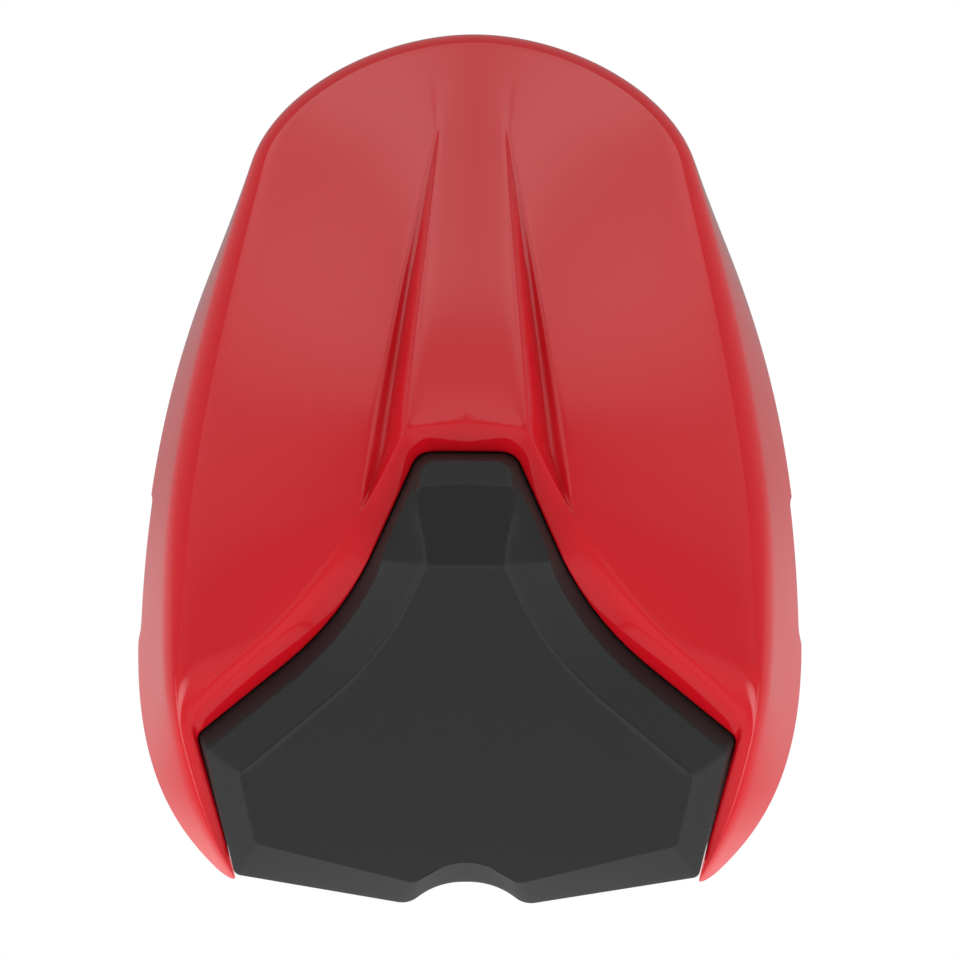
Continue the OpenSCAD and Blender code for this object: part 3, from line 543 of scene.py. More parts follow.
@dataclass
class MouldedShell:
    """The painted shell: one skin from rim to opening with a wall that thins out towards the two tips."""

    form: CowlForm
    wall: float = 3.0
    finer: int = 4
    flank_steps: int = 14
    fillet_steps: int = 12
    panel_steps: int = 22
    band_steps: int = 9
    return_steps: int = 4
    lip_rows: int = 24
    rows: int = 40
    row_v: Pairs = ((0, 0), (7, 0.45), (21, 1.25), (24, 1.36), (40, 3))
    row_wall: Pairs = ((0, 0.1), (2, 0.35), (6, 1), (40, 1))
    row_return: Pairs = ((0, 0.2), (2, 0.55), (8, 0.75), (12, 1), (24, 1))
    row_gap: Pairs = ((0, 0.12), (7, 0.3), (9, 1), (16, 0.6), (40, 0.6))
    row_soft: Pairs = ((0, 1.0), (5, 2.5), (8, 4.0), (15, 4.0), (19, 1.5), (21, 0.5), (24, 0.05))
    spine_shares: tuple[float, ...] = (0.12, 0.3, 0.5, 0.7, 0.86, 1.0)
    halvings: int = 16
    cross_reach: float = 30.0
    cut_near: float = 1.2
    fillet_share: float = 0.4
    fillet_pull: float = 0.66
    centre_power: float = 0.85
    return_power: float = 1.5
    nose: Point = (-1.8, 0.3, 1.6)
    nose_rows: float = 1.2
    nose_pull: float = 0.85
    crest_points: int = 12
    lip_round: float = 0.9
    lip_steps: int = 5
    soften_passes: int = 3
    soften: float = 0.4

    def __post_init__(self) -> None:
        """Places of the rows along the edge of the opening and the crest round it."""
        f, lip = self.form, self.form.lip
        first = np.linalg.norm(np.subtract(f.lip_keys[1][:2], f.lip_keys[0][:2]))
        last = lip.total - f.open_top_w / 2
        self.row_lip = ((0, 0), (6, first - 4), (8, first + 2), (20, last - 6), (22, last + 2),
                        (24, lip.total))
        self.row_crest = ((0, 0), (6, f.crest_turn - 5), (8, f.crest_turn + 3), (21, f.crest_spine),
                          (24, f.crest.total))
        self.centre_from = f.crest.points[-1][1]
        self.centre_to = f.ridge_tail - 2.6 * f.shoulder_round

    def inner_end(self, u: float) -> np.ndarray:
        """Place in plan at which a row ends: on the crest, or on the centre line behind it.

        Args:
            u: number of the row, 0 at the tip.

        Returns:
            The place in x and y.
        """
        if u <= self.lip_rows:
            return self.form.crest.at(table(u, self.row_crest))
        share = ((u - self.lip_rows) / (self.rows - self.lip_rows)) ** self.centre_power
        return np.array([0.0, mix(self.centre_from, self.centre_to, share)])

    def crossing(self, a: np.ndarray, b: np.ndarray, line: Callable[[float], float]) -> float:
        """Finds by halving where a row crosses a line of the spine or groove.

        Args:
            a: start of the row in plan.
            b: its end.
            line: half width of the line at y.

        Returns:
            The share of the way from a to b, or 1 where they don't cross.
        """
        low, high = 0.0, 1.0
        for _ in range(self.halvings):
            m = (low + high) / 2
            p = mix(a, b, m)
            if p[0] > line(p[1]) and p[1] > self.form.groove_tip[1] - self.cross_reach:
                low = m
            else:
                high = m
        return high

    def top_steps(self, u: float) -> list[float]:
        """Places a row's points close together at the lines of the groove and the spine.

        Args:
            u: number of the row.

        Returns:
            Shares of the way from the shoulder to the row's inner end.
        """
        f = self.form
        a, b = f.ridge(table(u, self.row_v)), self.inner_end(u)
        d = float(np.linalg.norm(b - a))
        g, r = table(u, self.row_gap) / d, min(f.shoulder_round, self.fillet_share * d) / d
        on = b[1] > f.groove_tip[1] and b[0] < f.groove_tip[0]
        cross = [self.crossing(a, b, line) if on else 1.0 for line in (f.edge_x, f.valley_x, f.outer_x)]
        te = max(min(cross[0], 1 - 3 * g), r + 4 * g)
        tv = max(min(cross[1], te - g), r + 3 * g)
        to = max(min(cross[2], tv - g), r + 2 * g)
        spine = [mix(te, 1.0, t) for t in self.spine_shares]
        near = min(self.cut_near / d, 0.25 * (tv - to), 0.25 * (te - tv))
        before = to - min(self.cut_near / d, 0.2 * (to - r))
        groove = [before, to, to + near, (to + tv) / 2, tv - near,
                  tv, tv + near, (tv + te) / 2, te - near, te]
        panel_end = to - min(2 * self.cut_near / d, 0.3 * (to - r))
        panel = [mix(r, panel_end, k / self.panel_steps) for k in range(self.panel_steps + 1)]
        return panel + groove + spine

    def row(self, u: float) -> list[np.ndarray]:
        """Points of a row: flank, rounded shoulder, back and, in front, the band, the lip and the return.

        Args:
            u: number of the row.

        Returns:
            The points from the rim inwards.
        """
        f = self.form
        v = table(u, self.row_v)
        s2, r2, b = f.ridge(v), f.rim(v), self.inner_end(u)
        s3 = np.array([s2[0], s2[1], f.shoulder(s2[1])])
        h = float(np.linalg.norm(s3 - np.array([r2[0], r2[1], 0.0])))
        flank_top = (1 - min(f.shoulder_round, self.fillet_share * h) / h) * s3[2]
        low = f.rim_z(r2[1])
        flank = [f.flank(v, mix(low, flank_top, k / self.flank_steps)) for k in range(self.flank_steps + 1)]
        top = []
        for t in self.top_steps(u):
            p = mix(s2, b, t)
            top.append(np.array([p[0], p[1], f.skin(p[0], p[1])]))
        low_end, top_end = flank[-1], top[0]
        leave = low_end + unit(low_end - flank[-2]) * self.fillet_pull * float(np.linalg.norm(s3 - low_end))
        arrive = top_end - unit(top[1] - top_end) * self.fillet_pull * float(np.linalg.norm(s3 - top_end))
        fillet = [cubic((low_end, leave, arrive, top_end), k / self.fillet_steps)
                  for k in range(1, self.fillet_steps)]
        row = flank + fillet + top
        if u > self.lip_rows:
            return row
        lx, ls = f.lip.at(table(u, self.row_lip))
        deep = f.return_deep * table(u, self.row_return)
        lip, crest = f.on_face(lx, ls, 0), top[-1]
        over = lip + unit(crest - lip) * self.lip_round
        under = lip + unit(f.on_face(lx, ls, -1) - lip) * min(self.lip_round, 0.5 * deep)
        band = [mix(crest, over, ease(k / self.band_steps)) for k in range(1, self.band_steps)]
        edge = [bend(over, lip, under, k / self.lip_steps) for k in range(self.lip_steps + 1)]
        back = [mix(under, f.on_face(lx, ls, -deep), (k / self.return_steps) ** self.return_power)
                for k in range(1, self.return_steps + 1)]
        return self._soft_crest(row, band, table(u, self.row_soft)) + edge + back

    def _soft_crest(self, row: list[np.ndarray], band: list[np.ndarray], reach: float) -> list[np.ndarray]:
        """Rounds off the crest between the back and the band.

        Args:
            row: points up to the crest, which is the last one.
            band: points from there on.
            reach: length over which each side is rounded.

        Returns:
            All the points with those near the crest moved.
        """
        crest = row[-1].copy()
        inward, outward = unit(row[-2] - crest), unit(band[0] - crest)
        start, end = crest + inward * reach, crest + outward * reach
        points = row + band
        for k, p in enumerate(points):
            away = float(np.linalg.norm(p - crest))
            if away < reach and k > len(row) - self.crest_points:
                side = -away if k < len(row) else away
                points[k] = bend(start, crest, end, (side + reach) / (2 * reach))
        return points

    def _nose(self, u: float, row: list[np.ndarray]) -> list[np.ndarray]:
        """Draws the points of the first rows together into the blunt point of the tip.

        Args:
            u: number of the row.
            row: its points.

        Returns:
            The points, moved in the rows next to the tip.
        """
        pull = self.nose_pull * max(1 - u / self.nose_rows, 0.0) ** 2
        end = np.append(self.form.tip, 0.0) + self.nose
        return [mix(p, end, pull) for p in row] if pull > 0 else row

    def build(self, paint: bpy.types.Material) -> bpy.types.Object:
        """Builds the shell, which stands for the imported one.

        Args:
            paint: finish of the shell.

        Returns:
            The finished piece.
        """
        count = self.rows * self.finer + 1
        places = [k / self.finer for k in range(count)]
        rows = [self._nose(u, self.row(u)) for u in places]
        bm = grid_from_rows(rows)
        wall = bm.verts.layers.float.new("wall")
        self._thin_the_tips(bm, wall, rows, places)
        bmesh.ops.mirror(bm, geom=bm.verts[:] + bm.edges[:] + bm.faces[:], axis="X", merge_dist=0.0)
        bmesh.ops.remove_doubles(bm, verts=bm.verts, dist=MERGE_MM)
        bmesh.ops.recalc_face_normals(bm, faces=bm.faces)
        inside = [vert for vert in bm.verts if not vert.is_boundary]
        for _ in range(self.soften_passes):
            bmesh.ops.smooth_vert(bm, verts=inside, factor=self.soften,
                                  use_axis_x=True, use_axis_y=True, use_axis_z=True)
        self._add_wall(bm, wall)
        bmesh.ops.transform(bm, matrix=to_metres(self.form), verts=bm.verts)
        piece = finish_piece(bm, "painted_shell", paint)
        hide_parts(SHELL_NODE)
        return piece

    def _thin_the_tips(self, bm: bmesh.types.BMesh, wall: bmesh.types.BMLayerItem,
                       rows: list[list[np.ndarray]], places: list[float]) -> None:
        """Writes the share of the full wall that each vertex gets, by its row.

        Args:
            bm: the skin.
            wall: layer that gets the shares.
            rows: points of the rows.
            places: numbers of the rows.
        """
        shares = {}
        for u, row in zip(places, rows):
            for p in row:
                shares[tuple(round(float(c), 3) for c in p)] = table(u, self.row_wall)
        for vert in bm.verts:
            vert[wall] = shares.get(tuple(round(c, 3) for c in vert.co), 1.0)

    def _add_wall(self, bm: bmesh.types.BMesh, wall: bmesh.types.BMLayerItem) -> None:
        """Gives the skin its wall: an inner copy, bridged to the outer skin along the open border.

        Args:
            bm: the skin.
            wall: layer with each vertex's share of the full wall.
        """
        bm.normal_update()
        shifts = {tuple(vert.co): vert.normal * self.wall * vert[wall] for vert in bm.verts}
        made = bmesh.ops.extrude_face_region(bm, geom=bm.faces[:], use_keep_orig=True)
        for vert in made["geom"]:
            if isinstance(vert, bmesh.types.BMVert):
                vert.co -= shifts[tuple(vert.co)]
                vert.co.z = max(vert.co.z, 0.0)
        bmesh.ops.recalc_face_normals(bm, faces=bm.faces)


@dataclass
class RestPad:
    """The foam pad: a closed form through outlines from its back over the brim to its bevelled face.

    A layer gives an outline's place (0 at the border, 1 at the brim, 2 at the edge of the face), its height
    out of the opening and how far its lower edge is moved up the slope.
    """

    form: CowlForm
    gap: float = 0.5
    lean: float = 3.5
    bevel: float = 12.0
    notch_w: float = 36.0
    notch_s: float = 3.6
    low_s: float = 7.5
    low_keys: int = 4
    steps: int = 14
    spacing: float = 2.2
    fill_from: float = 30.0
    fill_to: float = 140.0
    face_columns: int = 16
    welt: float = 0.45
    welt_w: float = 0.7
    welt_place: float = 0.035
    welt_from: float = 44.0
    welt_fade: float = 8.0
    crease: float = 0.27
    face_top_r: float = 2.5
    fold_cuts: tuple[float, ...] = (-3.6, -2.0, -1.1, -0.5, 0.0, 0.5, 1.1, 2.0, 3.6)
    fold_face: Pairs = ((-3.6, 16.0), (0.0, 13.2), (3.6, 13.7))
    layers: tuple[Point, ...] = (
        (0.0, -8.0, 5.0), (0.0, -7.4, 4.6), (0.0, -4.0, 2.33), (0.0, -0.5, 0.0), (0.3, 2.4, 0.0),
        (0.6, 4.8, 0.0), (0.8, 6.4, 0.0), (0.9, 7.15, 0.0), (0.96, 7.55, 0.0), (1.0, 7.85, 0.0),
        (1.04, 8.12, 0.0), (1.1, 8.46, 0.0), (1.25, 9.25, 0.0), (1.5, 10.5, 0.0), (1.75, 11.75, 0.0),
        (1.9, 12.5, 0.0), (1.95, 12.75, 0.0), (1.975, 12.87, 0.0), (2.0, 13.0, 0.0))

    def keys(self) -> list[tuple]:
        """Lists the keys of the outline from the middle of the notch round to the middle of the top.

        Returns:
            For each key its x and s at the border, at the brim and at the face, then its radius below the
            face and its radius at the face.
        """
        f, g, low = self.form, self.gap, self.notch_s
        notch, lean, bevel = self.notch_w, self.lean, self.bevel
        side = self._lip_low(self.low_s) - g
        corner, corner_s = f.open_w / 2, f.open_corner_s
        waist, waist_s = f.open_mid_w / 2, f.open_mid_s
        head, head_s = f.open_top_w / 2, f.open_s
        lower = [((0, low + 4.5), (0, low), (0, low + 10.8), 0, 0),
                 ((notch * 0.27, low + 4.5), (notch * 0.27, low), (notch * 0.21, low + 10.8), 24, 24),
                 ((notch * 0.57, -0.3), (notch * 0.57, -5.5), (notch * 0.5, 5.8), 8, 5),
                 ((side, self.low_s), (side - 1.4, self.low_s - 1.4), (f.tip[0] - 10.5, 21.5), 3, 3)]
        upper = [((corner - g, corner_s - 0.4 * g), (corner - g - lean, corner_s - 1.8),
                  (corner - lean - bevel, corner_s - 8), 3.4, 3.4),
                 ((waist - 0.7 * g, waist_s - 0.7 * g), (waist - 0.6 * lean, waist_s - 0.8 * lean),
                  (waist - lean - 1.1 * bevel, waist_s - 5), 120, 120)]
        fold = [self._fold_key(f.fold_s + off) for off in self.fold_cuts]
        top = [((head - g, head_s - g), (head - 0.7 * lean, head_s - lean),
                (head + 0.8, head_s - bevel - 0.4), f.open_top_r, self.face_top_r),
               ((0, head_s - g), (0, head_s - lean), (0, head_s - bevel + 0.6), 0, 0)]
        return lower + upper + fold + top

    def _lip_low(self, s: float) -> float:
        """Half width of the opening's lower part at s."""
        (x0, s0, _), (x1, s1, _) = self.form.lip_keys[:2]
        return mix(x0, x1, (s - s0) / (s1 - s0))

    def _fold_key(self, s: float) -> tuple:
        """Key on the straight upper part of the side, near the fold.

        Args:
            s: distance up the slope.

        Returns:
            The key, as keys() gives it.
        """
        (x0, s0, _), (x1, s1, _) = self.form.lip_keys[2:4]
        x = mix(x0, x1, (s - s0) / (s1 - s0)) - self.gap
        face = table(s - self.form.fold_s, self.fold_face)
        return (x, s), (x - self.lean, s), (face, s), 0, 0

    def outline(self, place: float, lift: float) -> np.ndarray:
        """Outline of one layer.

        Args:
            place: 0 at the border, 1 at the brim, 2 at the edge of the face.
            lift: how far the lower edge is moved up the slope.

        Returns:
            Points in x and s; all outlines have the same number of them.
        """
        keys = []
        spread = self._lip_low(lift) - self._lip_low(0.0)
        for k, (border, brim, face, wide, tight) in enumerate(self.keys()):
            start, end, share = (border, brim, place) if place < 1 else (brim, face, place - 1)
            x, s = mix(np.array(start, dtype=float), np.array(end, dtype=float), share)
            radius = mix(wide, tight, max(place - 1, 0.0))
            wider = spread if k == self.low_keys - 1 else 0.0
            higher = lift if k < self.low_keys else 0.0
            keys.append((x + wider, s + higher, radius))
        return rounded(keys, self.steps)

    def build(self, cover: bpy.types.Material) -> bpy.types.Object:
        """Builds the pad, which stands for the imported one.

        Args:
            cover: finish of its covering.

        Returns:
            The finished piece.
        """
        coarse = [self.outline(place, lift) for place, _, lift in self.layers]
        cuts = [max(1, math.ceil(float(np.linalg.norm(b - a)) / self.spacing))
                for a, b in zip(coarse[0], coarse[0][1:])]
        outlines = [self._divided(points, cuts) for points in coarse]
        first, last = self.layers[0], self.layers[-1]
        lower = sum(cuts[:(self.low_keys - 1) * (self.steps + 1)])
        rows = []
        for k in range(len(outlines[0])):
            row = self._fill(outlines[0], k, lower, first)[::-1]
            for line, (place, n, _) in zip(outlines[1:-1], self.layers[1:]):
                row.append(self.point(line[k][0], line[k][1], place, n))
            row += self._fill(outlines[-1], k, lower, last)
            rows.append(row)
        bm = grid_from_rows(rows)
        bmesh.ops.mirror(bm, geom=bm.verts[:] + bm.edges[:] + bm.faces[:], axis="X", merge_dist=0.0)
        bmesh.ops.remove_doubles(bm, verts=bm.verts, dist=MERGE_MM)
        bmesh.ops.dissolve_degenerate(bm, edges=bm.edges, dist=0.01)
        bmesh.ops.recalc_face_normals(bm, faces=bm.faces)
        bmesh.ops.transform(bm, matrix=to_metres(self.form), verts=bm.verts)
        piece = finish_piece(bm, "pad_covering", cover)
        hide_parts(PAD_NODE)
        return piece

    def _divided(self, points: np.ndarray, cuts: Sequence[int]) -> np.ndarray:
        """Cuts each segment of an outline into equal pieces.

        Args:
            points: the outline.
            cuts: pieces of each segment.

        Returns:
            The outline with the new points in it.
        """
        out = [points[0]]
        for a, b, count in zip(points, points[1:], cuts):
            out += [mix(a, b, k / count) for k in range(1, count + 1)]
        return np.array(out)

    def point(self, x: float, s: float, place: float, n: float) -> np.ndarray:
        """Point of the pad; above the brim the fold is an edge, and the face has a small welt round it.

        Args:
            x: distance across.
            s: distance up the slope.
            place: 0 at the border, 1 at the brim, 2 at the edge of the face, 3 within it.
            n: height out of the opening.

        Returns:
            The point.
        """
        f = self.form
        half = math.radians(f.face_slope - f.top_slope) / 2
        off = max(half - abs(s - f.fold_s) / f.fold_r, 0.0)
        n += min(max(2 * place - 1, 0.0), 1.0) * (f.fold_r + n) * (1 / math.cos(off) - 1)
        if place <= 2:
            shown = ease((s - self.welt_from) / self.welt_fade)
            n += self.welt * math.exp(-((place - 2.0) / self.welt_place) ** 2) * shown
        else:
            n += self.crease * math.exp(-((s - f.fold_s) / self.welt_w) ** 2)
        return f.on_face(x, s, n)

    def _fill(self, outline: np.ndarray, k: int, lower: int, layer: tuple) -> list[np.ndarray]:
        """Points from one point of an outline to the centre line; those of the lower edge fan out.

        Args:
            outline: the outline in x and s.
            k: number of the point in it.
            lower: number of the last point of the lower edge.
            layer: place and height of the outline.

        Returns:
            The points, from the outline to the centre line.
        """
        edge, place, n = outline[k], layer[0], layer[1]
        close = min(max(edge[1], self.fill_from), self.fill_to)
        if k < lower:
            close = mix(outline[0][1], self.fill_from, k / lower)
        centre = np.array([0.0, close])
        near = min(self.welt_w / max(float(np.linalg.norm(centre - edge)), 0.01), 0.04)
        points = []
        for t in [0.0, near] + [t / self.face_columns for t in range(1, self.face_columns + 1)]:
            x, s = mix(edge, centre, t)
            points.append(self.point(x, s, place + (place > 1 and t > 0), n))
        return points


# Sockets of a Mix node by number: its factor, its two numbers, its two colours and the mixed colour
MIX_FACTOR, MIX_A, MIX_B, MIX_COLOUR_A, MIX_COLOUR_B, MIX_COLOUR_OUT = 0, 2, 3, 6, 7, 2


def linear(code: str) -> tuple[float, float, float, float]:
    """Linear colour of an sRGB hex code such as c80e1b."""
    parts = [int(code[k:k + 2], 16) / 255 for k in (0, 2, 4)]
    return tuple([c / 12.92 if c <= 0.04045 else ((c + 0.055) / 1.055) ** 2.4 for c in parts] + [1.0])


def add_node(tree: bpy.types.NodeTree, kind: str, links: dict | None = None, **settings: object
             ) -> bpy.types.Node:
    """Adds a node with its settings and links.

    Args:
        tree: the tree that gets the node.
        kind: Blender's name of the node type.
        links: socket name or number to a value or to the output socket that feeds it.
        settings: attributes of the node.

    Returns:
        The new node.
    """
    node = tree.nodes.new(kind)
    for name, value in settings.items():
        setattr(node, name, value)
    for name, value in (links or {}).items():
        if isinstance(value, bpy.types.NodeSocket):
            tree.links.new(value, node.inputs[name])
        else:
            node.inputs[name].default_value = value
    return node


class Scale(Enum):
    """Real size in millimetres of each finish's pattern."""

    ORANGE_PEEL = 2.2
    VINYL_GRAIN = 0.9
    MOULD_TEXTURE = 0.6
    ZINC_CLOUD = 6.0
    TURNING = 0.5
    RUBBER = 1.5


def per_metre(size_mm: float) -> float:
    """Texture scale that gives a pattern of the real size on Object coordinates in metres."""
    return 1.0 / (size_mm * MM)


@dataclass(frozen=True)
class Finish:
    """A finish: its colours, gloss and the size and height of its surface pattern."""

    name: str
    colour: str
    shade: str
    roughness: float
    pattern: Scale
    bump_mm: float
    metallic: float = 0.0
    coat: float = 0.0
    coat_roughness: float = 0.03
    ior: float = 1.5
    detail: float = 2.0
    rough_spread: float = 0.04
    specular: float = 0.5
    tint_mm: float = 25.0
    tint_detail: float = 3.0

    def material(self) -> bpy.types.Material:
        """Makes the material.

        Returns:
            A node material whose colour, roughness and relief follow Object coordinates.
        """
        mat = bpy.data.materials.new(self.name)
        mat.use_nodes = True
        tree = mat.node_tree
        shader = tree.nodes["Principled BSDF"]
        coords = add_node(tree, "ShaderNodeTexCoord").outputs["Object"]
        cloud = add_node(tree, "ShaderNodeTexNoise", {
            "Vector": coords, "Scale": per_metre(self.tint_mm), "Detail": self.tint_detail})
        tint = add_node(tree, "ShaderNodeMix", {
            MIX_FACTOR: cloud.outputs["Fac"], MIX_COLOUR_A: linear(self.colour),
            MIX_COLOUR_B: linear(self.shade)}, data_type="RGBA")
        tree.links.new(tint.outputs[MIX_COLOUR_OUT], shader.inputs["Base Color"])
        grain = add_node(tree, "ShaderNodeTexNoise", {
            "Vector": coords, "Scale": per_metre(self.pattern.value), "Detail": self.detail})
        spread = add_node(tree, "ShaderNodeMapRange", {
            "Value": grain.outputs["Fac"], "To Min": self.roughness - self.rough_spread,
            "To Max": self.roughness + self.rough_spread})
        tree.links.new(spread.outputs["Result"], shader.inputs["Roughness"])
        bump = add_node(tree, "ShaderNodeBump", {
            "Height": grain.outputs["Fac"], "Strength": 1.0, "Distance": self.bump_mm * MM})
        tree.links.new(bump.outputs["Normal"], shader.inputs["Normal"])
        shader.inputs["Metallic"].default_value = self.metallic
        shader.inputs["Specular IOR Level"].default_value = self.specular
        if self.metallic == 0.0:
            shader.inputs["IOR"].default_value = self.ior
        shader.inputs["Coat Weight"].default_value = self.coat
        shader.inputs["Coat Roughness"].default_value = self.coat_roughness
        return mat


# Sprayed two-layer paint on ABS: deep red under a clear coat that mirrors the studio, with faint orange peel
RED_PAINT = Finish("red_lacquer_on_abs", "c80e1b", "c20c19", 0.35, Scale.ORANGE_PEEL, 0.002, coat=1.0,
                   coat_roughness=0.02, tint_mm=60.0, specular=0.0)
# Embossed vinyl over foam: dark grey, dull, with a fine leather grain that breaks up every highlight
PAD_VINYL = Finish("embossed_vinyl", "191a1a", "1b1c1c", 0.55, Scale.VINYL_GRAIN, 0.06, detail=4.0,
                   tint_mm=8.0, specular=0.36)
# Moulded ABS with an eroded tool texture: black and evenly satin
MOULDED_ABS = Finish("moulded_black_abs", "1d1d1f", "222224", 0.5, Scale.MOULD_TEXTURE, 0.03)
# Zinc plated steel with clear passivation: light grey with bluish and yellowish clouds
ZINC = Finish("zinc_plated_steel", "b9bec4", "c9c4b4", 0.32, Scale.ZINC_CLOUD, 0.003, metallic=1.0,
              tint_mm=9.0)
# Turned and oiled steel: dark grey with fine tool marks
DARK_STEEL = Finish("turned_dark_steel", "6b6e73", "7c8086", 0.3, Scale.TURNING, 0.008, metallic=1.0)
# Moulded rubber: nearly black and dull
RUBBER = Finish("moulded_rubber", "161616", "1d1c1b", 0.65, Scale.RUBBER, 0.02)

FINISH_OF_SLOT = {"gloss_red": RED_PAINT, "pad_black": PAD_VINYL, "moulded_black": MOULDED_ABS,
                  "zinc_plate": ZINC, "dark_steel": DARK_STEEL, "rubber_black": RUBBER}


@dataclass(frozen=True)
class Card:
    """A soft-edged patch of light far away; it appears alike on the left and on the right.

    full and edge are degrees from its middle: where it stops being even, and where it ends.
    """

    way: Point
    full: float
    edge: float
    level: float


@dataclass(frozen=True)
class Patch:
    """A soft-edged patch of the floor, alike on the left and on the right; sizes are in metres."""

    across: float
    along: float
    full: float
    edge: float
    level: float


@dataclass(frozen=True)
class Surround:
    """What one kind of ray meets: cards in the world, patches on the floor and the level between them."""

    cards: tuple[Card, ...]
    patches: tuple[Patch, ...]
    sky: float
    floor: float


# What the lacquer mirrors: soft cards behind and above, dimmer ones in front, a bright one low in front of
# each side, and a dim floor that is brighter in front and beside the cowl
MIRRORED = Surround(
    cards=(
        Card((0.0, 0.75, 0.66), 15.0, 40.0, 0.45),
        Card((0.0, 0.99, 0.13), 12.0, 30.0, 0.28),
        Card((0.45, 0.85, 0.25), 10.0, 28.0, 0.5),
        Card((0.72, 0.66, 0.18), 8.0, 24.0, 0.2),
        Card((0.0, 0.35, 0.93), 8.0, 26.0, 0.35),
        Card((0.0, -0.98, 0.17), 10.0, 28.0, 0.25),
        Card((0.70, -0.45, 0.50), 8.0, 26.0, 0.25),
        Card((0.84, -0.50, 0.12), 8.0, 24.0, 2.6)),
    patches=(
        Patch(0.0, -0.55, 0.25, 0.50, 0.3),
        Patch(0.045, -0.205, 0.05, 0.105, 1.15),
        Patch(0.18, -0.10, 0.05, 0.12, 0.2),
        Patch(0.50, -0.45, 0.15, 0.42, 2.4)),
    sky=0.42, floor=0.30)
# What lights the dull surfaces: an even sky, a card in front and a bright floor
SOFT = Surround(
    cards=(
        Card((0.0, -0.90, 0.44), 15.0, 45.0, 1.0),),
    patches=(
        Patch(0.0, -0.35, 0.12, 0.30, 0.5),
        Patch(0.24, 0.0, 0.10, 0.26, 1.0)),
    sky=0.8, floor=1.6)


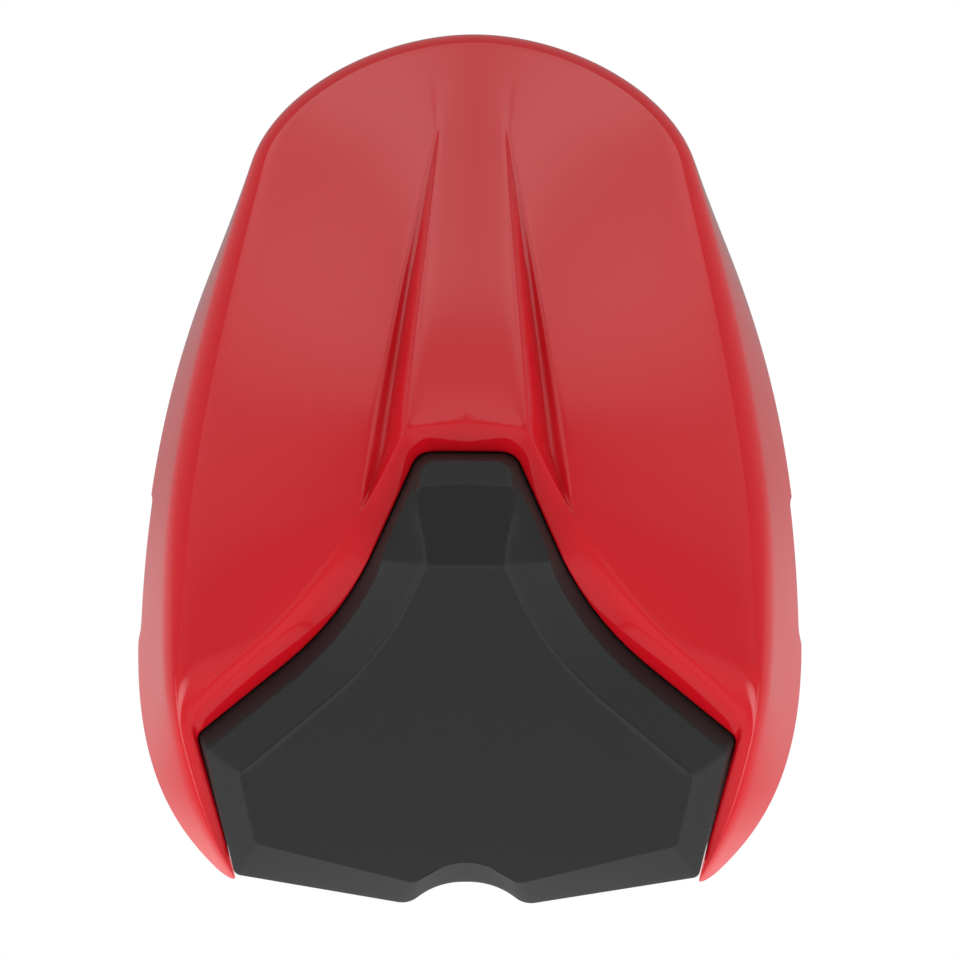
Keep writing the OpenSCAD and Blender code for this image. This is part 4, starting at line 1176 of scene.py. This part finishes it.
@dataclass
class Studio:
    """Camera, floor and world; all light comes from the world and from the floor."""

    target: Point = (0.0, 0.0, 55.0)
    elevation: float = 64.0
    azimuth: float = 1.85
    roll: float = -1.41
    distance: float = 1300.0
    zoom: float = 2.8
    shift_px: float = -11.0
    sensor_mm: float = 36.0
    floor_m: float = 1.3
    floor_corners: int = 96
    clip_m: float = 20.0
    mirrored: Surround = MIRRORED
    soft: Surround = SOFT

    def camera(self, place: Matrix) -> None:
        """Creates the camera at the photograph's viewing angle.

        Args:
            place: matrix from the drawing frame to the shared frame.
        """
        e, a, roll = (math.radians(t) for t in (self.elevation, self.azimuth, self.roll))
        back = Vector((math.sin(a) * math.cos(e), -math.cos(a) * math.cos(e), math.sin(e)))
        right = Vector((math.cos(a), math.sin(a), 0.0))
        up = back.cross(right)
        r2 = math.cos(roll) * right + math.sin(roll) * up
        u2 = -math.sin(roll) * right + math.cos(roll) * up
        eye = place @ Vector(self.target) + back * self.distance * MM
        data = bpy.data.cameras.new("camera")
        data.sensor_width = self.sensor_mm
        data.sensor_fit = "HORIZONTAL"
        data.lens = self.zoom * self.distance / IMAGE_PX * self.sensor_mm
        data.shift_x = -self.shift_px / IMAGE_PX
        data.clip_end = self.clip_m
        camera = bpy.data.objects.new("camera", data)
        turn = Matrix((r2, u2, back)).transposed()
        camera.matrix_world = Matrix.Translation(eye) @ turn.to_4x4()
        bpy.context.scene.collection.objects.link(camera)
        bpy.context.scene.camera = camera

    def floor(self) -> None:
        """Lays a white floor that is bright from above and clear from below."""
        bm = bmesh.new()
        bmesh.ops.create_circle(bm, cap_ends=True, radius=self.floor_m, segments=self.floor_corners)
        mesh = bpy.data.meshes.new("floor")
        bm.to_mesh(mesh)
        bm.free()
        floor = bpy.data.objects.new("floor", mesh)
        bpy.context.scene.collection.objects.link(floor)
        mat = bpy.data.materials.new("paper_floor")
        mat.use_nodes = True
        tree = mat.node_tree
        tree.nodes.remove(tree.nodes["Principled BSDF"])
        spot = self._folded(tree, add_node(tree, "ShaderNodeTexCoord").outputs["Object"])
        levels = []
        for surround in (self.soft, self.mirrored):
            parts = [self._patch(tree, spot, patch) for patch in surround.patches]
            levels.append(self._total(tree, parts, surround.floor))
        level = self._by_ray(tree, *levels)
        white = add_node(tree, "ShaderNodeEmission", {"Color": WHITE, "Strength": level})
        clear = add_node(tree, "ShaderNodeBsdfTransparent")
        below = add_node(tree, "ShaderNodeNewGeometry").outputs["Backfacing"]
        sided = add_node(tree, "ShaderNodeMixShader", {0: below, 1: white.outputs[0], 2: clear.outputs[0]})
        tree.links.new(sided.outputs[0], tree.nodes["Material Output"].inputs["Surface"])
        mesh.materials.append(mat)

    def world(self) -> None:
        """White to the camera; the lacquer mirrors one set of cards and everything dull is lit by another."""
        world = bpy.data.worlds.new("studio")
        bpy.context.scene.world = world
        world.use_nodes = True
        tree = world.node_tree
        tree.nodes.clear()
        way = self._folded(tree, add_node(tree, "ShaderNodeTexCoord").outputs["Generated"])
        levels = []
        for surround in (self.soft, self.mirrored):
            parts = [self._card(tree, way, card) for card in surround.cards]
            levels.append(self._total(tree, parts, surround.sky))
        level = self._by_ray(tree, *levels)
        light = add_node(tree, "ShaderNodeBackground", {"Color": WHITE, "Strength": level})
        out = add_node(tree, "ShaderNodeOutputWorld")
        tree.links.new(light.outputs[0], out.inputs["Surface"])

    @staticmethod
    def _folded(tree: bpy.types.NodeTree, place: Socket) -> Socket:
        """Folds left on right, so that what is set on the right shows on both sides.

        Args:
            tree: the tree that gets the nodes.
            place: a place or a direction.

        Returns:
            The same with its distance across made positive.
        """
        axes = add_node(tree, "ShaderNodeSeparateXYZ", {0: place})
        across = add_node(tree, "ShaderNodeMath", {0: axes.outputs["X"]}, operation="ABSOLUTE").outputs[0]
        return add_node(tree, "ShaderNodeCombineXYZ", {
            "X": across, "Y": axes.outputs["Y"], "Z": axes.outputs["Z"]}).outputs[0]

    @staticmethod
    def _by_ray(tree: bpy.types.NodeTree, soft: Socket, mirrored: Socket) -> Socket:
        """Chooses the level for the ray that looks.

        Args:
            tree: the tree that gets the nodes.
            soft: level for rays from dull surfaces.
            mirrored: level for rays from glossy ones.

        Returns:
            White for the camera, else one of the two levels.
        """
        path = add_node(tree, "ShaderNodeLightPath")
        seen = add_node(tree, "ShaderNodeMix", {
            MIX_FACTOR: path.outputs["Is Glossy Ray"], MIX_A: soft, MIX_B: mirrored}).outputs[0]
        return add_node(tree, "ShaderNodeMix", {
            MIX_FACTOR: path.outputs["Is Camera Ray"], MIX_A: seen, MIX_B: 1.0}).outputs[0]

    @staticmethod
    def _total(tree: bpy.types.NodeTree, parts: Sequence[Socket], base: float) -> Socket:
        """Adds up levels.

        Args:
            tree: the tree that gets the nodes.
            parts: the levels of the cards or patches.
            base: the level without them.

        Returns:
            The sum.
        """
        total = add_node(tree, "ShaderNodeValue")
        total.outputs[0].default_value = base
        for part in parts:
            total = add_node(tree, "ShaderNodeMath", {0: total.outputs[0], 1: part}, operation="ADD")
        return total.outputs[0]

    @staticmethod
    def _card(tree: bpy.types.NodeTree, way: Socket, card: Card) -> Socket:
        """Level of one card.

        Args:
            tree: the tree that gets the nodes.
            way: the direction that is looked at.
            card: the card.

        Returns:
            Its level there, which fades out over its soft edge.
        """
        aim = add_node(tree, "ShaderNodeVectorMath", {0: way, 1: tuple(unit(np.array(card.way)))},
                       operation="DOT_PRODUCT")
        return add_node(tree, "ShaderNodeMapRange", {
            "Value": aim.outputs["Value"], "From Min": math.cos(math.radians(card.edge)),
            "From Max": math.cos(math.radians(card.full)), "To Min": 0.0, "To Max": card.level},
            interpolation_type="SMOOTHSTEP").outputs[0]

    @staticmethod
    def _patch(tree: bpy.types.NodeTree, spot: Socket, patch: Patch) -> Socket:
        """Level of one patch.

        Args:
            tree: the tree that gets the nodes.
            spot: the place on the floor.
            patch: the patch.

        Returns:
            Its level there, which fades out over its soft edge.
        """
        away = add_node(tree, "ShaderNodeVectorMath", {0: spot, 1: (patch.across, patch.along, 0.0)},
                        operation="DISTANCE")
        return add_node(tree, "ShaderNodeMapRange", {
            "Value": away.outputs["Value"], "From Min": patch.full, "From Max": patch.edge,
            "To Min": patch.level, "To Max": 0.0}, interpolation_type="SMOOTHSTEP").outputs[0]

    def build(self, place: Matrix) -> None:
        """Builds the whole studio.

        Args:
            place: matrix from the drawing frame to the shared frame.
        """
        self.camera(place)
        self.floor()
        self.world()
        bpy.context.scene.view_settings.view_transform = "Standard"


def dress_nodes(frame: dict, finishes: dict[str, bpy.types.Material], skip: Iterable[str]) -> None:
    """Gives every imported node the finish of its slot.

    Args:
        finishes: the material of each slot.
        skip: nodes that another piece stands for.
    """
    for part in frame["record"]["subparts"]:
        if part["node"] in skip:
            continue
        node = frame["nodes"][part["node"]]
        node.data.materials.clear()
        node.data.materials.append(finishes[part["material_slot"]])
        LOG.info("%s: %s", part["node"], part["material_slot"])


def main() -> None:
    """Builds the pieces round the frame, then the studio."""
    logging.basicConfig(level=logging.INFO, format="%(name)s %(message)s")
    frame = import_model()
    form = CowlForm()
    Studio().build(to_metres(form))
    finishes = {slot: finish.material() for slot, finish in FINISH_OF_SLOT.items()}
    MouldedShell(form).build(finishes["gloss_red"])
    RestPad(form).build(finishes["pad_black"])
    dress_nodes(frame, finishes, (SHELL_NODE, PAD_NODE))


if __name__ == "__main__":
    main()
